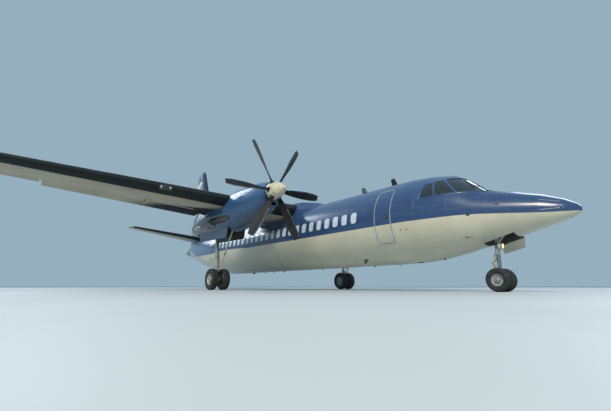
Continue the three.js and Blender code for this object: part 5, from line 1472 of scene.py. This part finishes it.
# %% Hub caps, nuts and vents
HUB_CAP = [(0.0, 0.056), (0.006, 0.056), (0.012, 0.048), (0.02, 0.03), (0.024, 0.012)]
WHEEL_NUT = [(0.0, 0.009), (0.01, 0.009), (0.011, 0.006), (0.018, 0.005)]
NUT_CIRCLE, VENT_CIRCLE, NUT_COUNT = 0.112, 0.15, 10
NOSE_AXLE_X, NOSE_AXLE_Z = 10.645, 0.305


def wheel_face(centre, flank, web, hub, scale, caps, nuts, vents):
    """The small pieces of one wheel's outer face."""
    out = Y * flank
    caps.turned(centre + out * (hub - 0.002), out, [(along, radius * scale) for along, radius in HUB_CAP], 24)
    for angle in full_turn(NUT_COUNT):
        way = Vector((math.cos(angle), 0, math.sin(angle)))
        nuts.turned(centre + way * (NUT_CIRCLE * scale) + out * (web - 0.002), out, WHEEL_NUT, 6)
        turn = angle + math.pi / NUT_COUNT
        way = Vector((math.cos(turn), 0, math.sin(turn)))
        tangent = Vector((-math.sin(turn), 0, math.cos(turn)))
        spot = centre + way * (VENT_CIRCLE * scale) + out * (web + 0.0005)
        vents.slab(spot, tangent, way, disc(0.024 * scale, 0.014 * scale, 14), 0.003, 0.0008)


WHEELS = [(f"main_wheels_{label}", Vector((AXLE_X, NACELLE_OUT * side, AXLE_Z)), 0.255, 0.0371, 0.106, 1.0)
          for side, label in SIDE_NAMES.items()]
WHEELS.append(("nose_wheels", Vector((NOSE_AXLE_X, 0, NOSE_AXLE_Z)), 0.175, 0.0266, 0.076, 0.7))
for body, centre, offset, web, hub, scale in WHEELS:
    caps, nuts, vents = Stock(), Stock(), Stock()
    for flank in (1, -1):
        wheel_face(centre + Y * (flank * offset), flank, web, hub, scale, caps, nuts, vents)
    caps.piece(f"hub_caps_{body}", RIM_METAL, body, "gear_paint")
    nuts.piece(f"wheel_nuts_{body}", DARK_STEEL, body, "gear_paint")
    vents.piece(f"wheel_vents_{body}", HOSE_BLACK, body, "gear_paint")

# %% [markdown]
# ## Nose gear
# The nose leg repeats the main leg on a smaller scale and adds two things: steering rams beside its
# collar, which turn the fork, and a lit taxi lamp, the one warm light in the photo.

# %% Nose piston, rams and lamp
RAM = [(0.0, 0.018), (0.004, 0.027), (0.2, 0.027), (0.21, 0.02), (0.22, 0.014)]
RAM_HEIGHT = 1.235


def on_nose_leg(height, fore=0.0, across=0.0):
    """A point by the upright nose leg, from its height above the ground."""
    return Vector((NOSE_AXLE_X + fore, across, height))


nose_piston, nose_pins, rams, ram_rods = Stock(), Stock(), Stock(), Stock()
nose_piston.turned(on_nose_leg(0.5), Z, [(0.0, 0.0515), (0.47, 0.0515)], 32)
for height, back in ((1.03, 0.02), (0.765, 0.16), (0.425, 0.02)):
    nose_pins.turned(on_nose_leg(height, -back, -0.042), Y, band(0.014, 0.084, 0.003, 0.005), 12)
nose_piston.piece("nose_piston_chrome", CHROME, "nose_steering", "gear_paint")
nose_pins.piece("nose_link_pins", DARK_STEEL, "nose_steering", "gear_paint")
for flank in (1, -1):
    back = on_nose_leg(RAM_HEIGHT, -0.06, flank * 0.1)
    front = back + X * 0.22
    rams.turned(back, X, RAM, 16)
    ram_rods.rod([front - X * 0.01, front + X * 0.035, front + X * 0.045], [0.009, 0.009, 0.004], 10)
    rams.rod([back + X * 0.06, on_nose_leg(RAM_HEIGHT, 0.0, flank * 0.055)], 0.014)
for height in (1.14, 1.3, 1.5):
    rams.turned(on_nose_leg(height), Z, band(0.072, 0.023, 0.003, 0.005), 28)
hose = [(1.7, 0.074, 0.02), (1.45, 0.08, 0.025), (1.25, 0.082, 0.03), (1.13, 0.078, 0.04)]
rams.rod([on_nose_leg(*spot) for spot in hose], 0.007)
rams.piece("steering_rams", ENGINE_METAL, "airframe", "gear_paint")
ram_rods.piece("steering_ram_rods", CHROME, "airframe", "gear_paint")

# %% [markdown]
# The lamp is a round reflector behind glass. A bezel turned in one profile holds the lens, and the lens
# glows by its material alone, so the scene needs no extra light for it.

# %% Taxi lamp
LAMP_FRONT = Vector((NOSE_X - 1.76, -0.2, 1.165))
BEZEL = [(-0.02, 0.0775), (0.008, 0.079), (0.012, 0.075), (0.01, 0.066), (0.0, 0.064), (-0.02, 0.07)]
LAMP_GLASS = [(-0.002, 0.066), (0.004, 0.066), (0.009, 0.05), (0.012, 0.028), (0.013, 0.01)]
bezel = Stock().turned(LAMP_FRONT, X, BEZEL, 32, loop=True)
lens = Stock().turned(LAMP_FRONT, X, LAMP_GLASS, 28)
bezel.piece("taxi_lamp_bezel", RIM_METAL, "airframe", "gear_paint")
lens.piece("taxi_lamp_lens", WARM_LAMP, "airframe", "cockpit_glass")

# %% [markdown]
# ## Under the wing
# From below, a wing is a chart of its insides: rows of oval panels open the fuel tank between the
# spars, a pale ring marks the filler, and small blisters hide the aileron hinges. Rays shot up from
# below find the skin at each point of an outline, so that a panel takes the curve of the wing.

# %% Tank panels and hinge blisters
WING_HEIGHT, DIHEDRAL, WING_INCIDENCE = 3.35, math.radians(2.5), math.radians(2.5)
PANEL_RIM = [(-0.008, -0.002), (-0.008, 0.001), (0.0, 0.001), (0.0, -0.002)]
PANEL_STEPS = [(0.002, -0.002), (0.002, 0.0015), (0.006, 0.0025)]
HINGE_BLISTER = [(0.0, 0.004), (0.05, 0.016), (0.13, 0.024), (0.2, 0.022), (0.26, 0.01), (0.28, 0.003)]
TWO_ROWS_TO = 9.0
FILLER_AT = Vector((NOSE_X - 10.89, -5.16, 3.3))


def in_wing(span, share, lift=0.0):
    """A point on the wing's reference plane, or a lift above it."""
    out = abs(span)
    height = WING_HEIGHT + max(0.0, out - NACELLE_OUT) * math.tan(DIHEDRAL)
    return Vector((NOSE_X - WING.lead_at(out) - WING.chord_at(out) * share, span, height + lift))


tank_panels, tank_rims, filler, hinges, filler_eye = (Stock() for _ in range(5))
tank_panel = disc(0.2, 0.12, 24)
for side in SIDE_NAMES:
    for out in [4.85 + 0.68 * i for i in range(13)] + [1.75, 2.4]:
        for share in ((0.3, 0.5) if out < TWO_ROWS_TO else (0.4,)):
            place = in_wing(out * side, share)
            stencil(tank_rims, WING_SKIN, place, Y, X, Z, tank_panel, PANEL_RIM, loop=True)
            stencil(tank_panels, WING_SKIN, place, Y, X, Z, tank_panel, PANEL_STEPS)
    for out in (10.3, 12.0, 13.7):
        hit, normal = landing(WING_SKIN, in_wing(out * side, 0.70), Z)
        hinges.turned(hit + X * 0.2 + normal * 0.004, -X, HINGE_BLISTER, 12)
stud(filler, WING_SKIN, FILLER_AT, Z, X, Y, 0.075, 0.075, 0.004, 24)
hit, normal = landing(WING_SKIN, FILLER_AT, Z)
filler_eye.turned(hit + normal * 0.003, normal, [(0.0, 0.034), (0.004, 0.034), (0.006, 0.028)], 20)
tank_panels.piece("tank_panels", WING_PAINT, "airframe", "wing_paint")
tank_rims.piece("tank_panel_rims", WING_PAINT, "airframe", "wing_paint")
filler.piece("filler_ring", SEAL_PALE, "airframe", "hull_paint")
hinges.piece("aileron_hinge_blisters", PANEL_BEIGE, "airframe", "wing_paint")
filler_eye.piece("filler_eye", HOSE_BLACK, "airframe", "gear_paint")

# %% [markdown]
# ## Lamps and wicks
# Lamps sit behind glass in the leading edge, which curves too sharply for a flat pane, so the glass is
# laid on the skin from the front. Red to port and green to starboard mark the tips. Thin wicks trail
# from the ailerons to shed static.

# %% Wing lamps and aileron wicks
LENS_RIM = [(-0.012, -0.003), (-0.012, 0.003), (0.0, 0.004), (0.0, -0.003)]
LENS_STEPS = [(0.001, -0.003), (0.001, 0.003), (0.02, 0.005), (0.045, 0.005), (0.07, 0.005)]
TIP_LAMP = [(0.0, 0.03), (0.04, 0.032), (0.07, 0.026), (0.085, 0.014)]
PORT_LAMP_SPAN, STARBOARD_LAMP_SPAN, TIP_LAMP_OUT = 5.97, -6.42, 14.2
EDGE_SHARE = 0.9995


def wick(stock, edge, length):
    """A static wick that trails from a point of a trailing edge."""
    stock.rod([edge + X * 0.05, edge, edge - X * length], [0.006, 0.004, 0.002], 6)


lamp_glass, lamp_rims, dark_glass = Stock(), Stock(), Stock()
for span, width, glass in ((PORT_LAMP_SPAN, 0.26, lamp_glass), (STARBOARD_LAMP_SPAN, 0.4, dark_glass)):
    place, cover = in_wing(span, 0.0, 0.01), rounded(width, 0.15, 0.03, 4, 6)
    stencil(lamp_rims, WING_SKIN, place, Y, Z, -X, cover, LENS_RIM, loop=True)
    stencil(glass, WING_SKIN, place, Y, Z, -X, cover, LENS_STEPS)
for off in (-0.15, 0.15):
    bulb = in_wing(STARBOARD_LAMP_SPAN, 0.0, 0.01) + Y * off
    stud(lamp_glass, WING_SKIN, bulb, -X, Y, Z, 0.028, 0.036, 0.012, 16)
lamp_rims.piece("wing_lamp_rim", AERIAL_GREY, "airframe", "gear_paint")
lamp_glass.piece("wing_lamp_glass", CLEAR_LAMP, "airframe", "cockpit_glass")
dark_glass.piece("wing_lamp_cover", COCKPIT_GLASS, "airframe", "cockpit_glass")
for side, finish in ((PORT, RED_LAMP), (STARBOARD, GREEN_LAMP)):
    hit, _ = landing(WING_SKIN, in_wing(TIP_LAMP_OUT * side, 0.0, 0.012), -X)
    lamp = Stock().turned(hit - X * 0.05, X, TIP_LAMP, 20)
    lamp.piece(f"tip_lamp_{SIDE_NAMES[side]}", finish, "airframe", "cockpit_glass")
for side, label in SIDE_NAMES.items():
    wicks = Stock()
    for out in (10.6, 11.8, 13.0, 13.9):
        drop = WING.chord_at(out) * 0.75 * math.sin(WING_INCIDENCE)
        wick(wicks, in_wing(out * side, EDGE_SHARE, -drop), 0.1)
    wicks.piece(f"aileron_wicks_{label}", HOSE_BLACK, f"aileron_{label}", "tyre_rubber")

# %% [markdown]
# ## Seals along the flaps
# Where a flap tucks under the wing, a strip of pale rubber closes the gap. It is the bright line that
# crosses each wing in the photo. A ribbon laid along the lip of the wing gives it a rounded edge that
# paint alone would not have.

# %% Flap lip strips
LIP_SHARE, HINGE_FAIRING_OUT, FAIRING_HALF = 0.642, 6.6, 0.1
outer = even_steps(4.75, 9.75, 26)
runs = [even_steps(1.5, 2.86, 8), [out for out in outer if out < HINGE_FAIRING_OUT - FAIRING_HALF],
        [out for out in outer if out > HINGE_FAIRING_OUT + FAIRING_HALF]]
lip_strips = Stock()
for side in SIDE_NAMES:
    for run in runs:
        ribbon(lip_strips, WING_SKIN, [(in_wing(out * side, LIP_SHARE), Z) for out in run], 0.05, 0.012)
lip_strips.piece("flap_lip_strips", SEAL_CREAM, "airframe", "wing_paint")

# %% [markdown]
# ## Tail details
# The tail ends in a white lamp. Wicks trail from the elevators and the rudder, and hinge blisters show
# on both sides of the rudder. Thin lines mark the trim tabs on its lower part and on the elevators. A
# ribbon gives a line that stays even where the skin curves, and rides with its own surface.

# %% Wicks, tabs, blisters and the tail lamp
TAIL_HEIGHT, TAIL_RISE, TAB_SHARE = 1.06, 0.63, 0.87
RUDDER_BLISTER = [(0.0, 0.004), (0.06, 0.016), (0.16, 0.022), (0.24, 0.018), (0.3, 0.004)]
TAIL_LAMP = [(0.0, 0.066), (0.02, 0.064), (0.05, 0.05), (0.072, 0.026)]


def in_tailplane(span, share):
    """A point on the tailplane's reference plane."""
    out = abs(span)
    height = TAIL_HEIGHT + TAIL_RISE * (out / TAILPLANE.reach)
    return at_station(TAILPLANE.lead_at(out) + TAILPLANE.chord_at(out) * share, span, height)


def in_fin(height, share):
    """A point of the fin by its height above the axis and its share of the chord."""
    up = height - FIN_FOOT
    return at_station(FIN.lead_at(up) + FIN.chord_at(up) * share, 0, height)


for side, label in SIDE_NAMES.items():
    wicks, tab_lines = Stock(), Stock()
    for out in (2.6, 3.4, 4.2):
        wick(wicks, in_tailplane(out * side, EDGE_SHARE), 0.09)
    for aim in (-Z, Z):
        route = [(in_tailplane(out * side, TAB_SHARE), aim) for out in even_steps(0.9, 2.1, 12)]
        ribbon(tab_lines, TAIL_SKIN, route, 0.012, 0.001)
    wicks.piece(f"elevator_wicks_{label}", HOSE_BLACK, f"elevator_{label}", "tyre_rubber")
    tab_lines.piece(f"elevator_tab_lines_{label}", AERIAL_GREY, f"elevator_{label}", "wing_paint")

rudder_wicks, blisters, rudder_lines = Stock(), Stock(), Stock()
for height in (4.6, 5.3, 5.9):
    wick(rudder_wicks, in_fin(height, EDGE_SHARE), 0.09)
for aim in (-Y, Y):
    for height in (2.4, 3.7, 5.0):
        hit, normal = landing(FIN_SKIN, in_fin(height, 0.6), aim)
        blisters.turned(hit + X * 0.2 + normal * 0.002, -X, RUDDER_BLISTER, 12)
    route = [(in_fin(1.75 + 0.11 * i, 0.86), aim) for i in range(13)]
    ribbon(rudder_lines, FIN_SKIN, route, 0.012, 0.001)
rudder_wicks.piece("rudder_wicks", HOSE_BLACK, "rudder", "tyre_rubber")
rudder_lines.piece("rudder_tab_lines", AERIAL_GREY, "rudder", "blue_paint")
blisters.piece("rudder_hinge_blisters", FIN_PAINT, "airframe", "blue_paint")
tail_lamp = Stock().turned(at_station(25.17, 0, 0.37), -X, TAIL_LAMP, 24)
tail_lamp.piece("tail_lamp", CLEAR_LAMP, "airframe", "cockpit_glass")

# %% [markdown]
# ## Floor
# The floor is plain and pale, and bounces light onto the belly as a bright apron does. It is one large
# disc, so that its rim lies far behind the aircraft from every side.

# %% Floor
FLOOR_RADIUS, FLOOR_SIDES = 260.0, 96


def floor_finish():
    paint = Paint("pale_floor")
    blots = paint.cloud(3.0, 3)
    colour = paint.mix(paint.rise(blots, 0.3, 0.7), tint("b9c1c5"), tint("b4bcc0"))
    return paint.surface(colour, 0.6 + blots * 0.1)


rim_points = [(FLOOR_RADIUS * math.cos(a), FLOOR_RADIUS * math.sin(a), 0.0) for a in full_turn(FLOOR_SIDES)]
floor_mesh = bpy.data.meshes.new("studio_floor")
floor_mesh.from_pydata(rim_points, [], [tuple(range(FLOOR_SIDES))])
floor_mesh.materials.append(floor_finish())
floor = bpy.data.objects.new("studio_floor", floor_mesh)
bpy.context.scene.collection.objects.link(floor)
print("floor radius:", FLOOR_RADIUS)

# %% [markdown]
# ## Light
# An even sky fills the shadows, because the photo was taken in the open. Three large round lamps shape
# the form: a warm one off the bow, a cool one from port and a third that draws the outline of the tail.

# %% Soft light
SKY_COLOUR, SKY_STRENGTH = tint("a9c6d8"), 0.76
world = bpy.data.worlds.new("studio_sky")
world.use_nodes = True
world.node_tree.nodes["Background"].inputs["Color"].default_value = SKY_COLOUR
world.node_tree.nodes["Background"].inputs["Strength"].default_value = SKY_STRENGTH
bpy.context.scene.world = world


def look_at(made, place, aim):
    """Puts an object at a place and turns it towards a point."""
    made.location = place
    made.rotation_mode = "QUATERNION"
    made.rotation_quaternion = (Vector(aim) - Vector(place)).to_track_quat("-Z", "Y")
    bpy.context.scene.collection.objects.link(made)


def soft_lamp(name, place, aim, size, power, colour):
    """A round area lamp. Size is its diameter in metres and power is in watts."""
    lamp = bpy.data.lights.new(name, "AREA")
    lamp.shape, lamp.size, lamp.energy, lamp.color = "DISK", size, power, tint(colour)[:3]
    look_at(bpy.data.objects.new(name, lamp), place, aim)
    print(name, "watts:", power)


soft_lamp("key_from_bow", (30, -34, 34), (0, 0, 2.5), 18, 23000, "fff4e2")
soft_lamp("fill_from_port", (10, 44, 26), (0, 0, 2.5), 28, 8000, "e4eefb")
soft_lamp("rim_from_tail", (-44, -12, 28), (0, 0, 3), 24, 8000, "eaf2ff")

# %% [markdown]
# ## Camera
# The photo looks up at the aircraft. The camera here stands as low as the floor allows, off the
# starboard bow, and tilts up. A short lens takes in the whole span from close by.

# %% Camera
CAMERA_AZIMUTH, CAMERA_DISTANCE, CAMERA_HEIGHT = math.radians(56.4), 18.0, 0.14
FOCAL_LENGTH, CAMERA_AIM = 21.0, Vector((1.8, 0.4, 3.95))
outward = Vector((math.sin(CAMERA_AZIMUTH), -math.cos(CAMERA_AZIMUTH), 0))
camera = bpy.data.objects.new("camera_on_the_apron", bpy.data.cameras.new("camera_on_the_apron"))
look_at(camera, Vector((0, 0, CAMERA_HEIGHT)) + outward * CAMERA_DISTANCE, CAMERA_AIM)
camera.data.lens = FOCAL_LENGTH
camera.data.clip_end = 1000
bpy.context.scene.camera = camera
bpy.context.scene.view_settings.view_transform = "Standard"
print("camera at", tuple(round(c, 2) for c in camera.location))
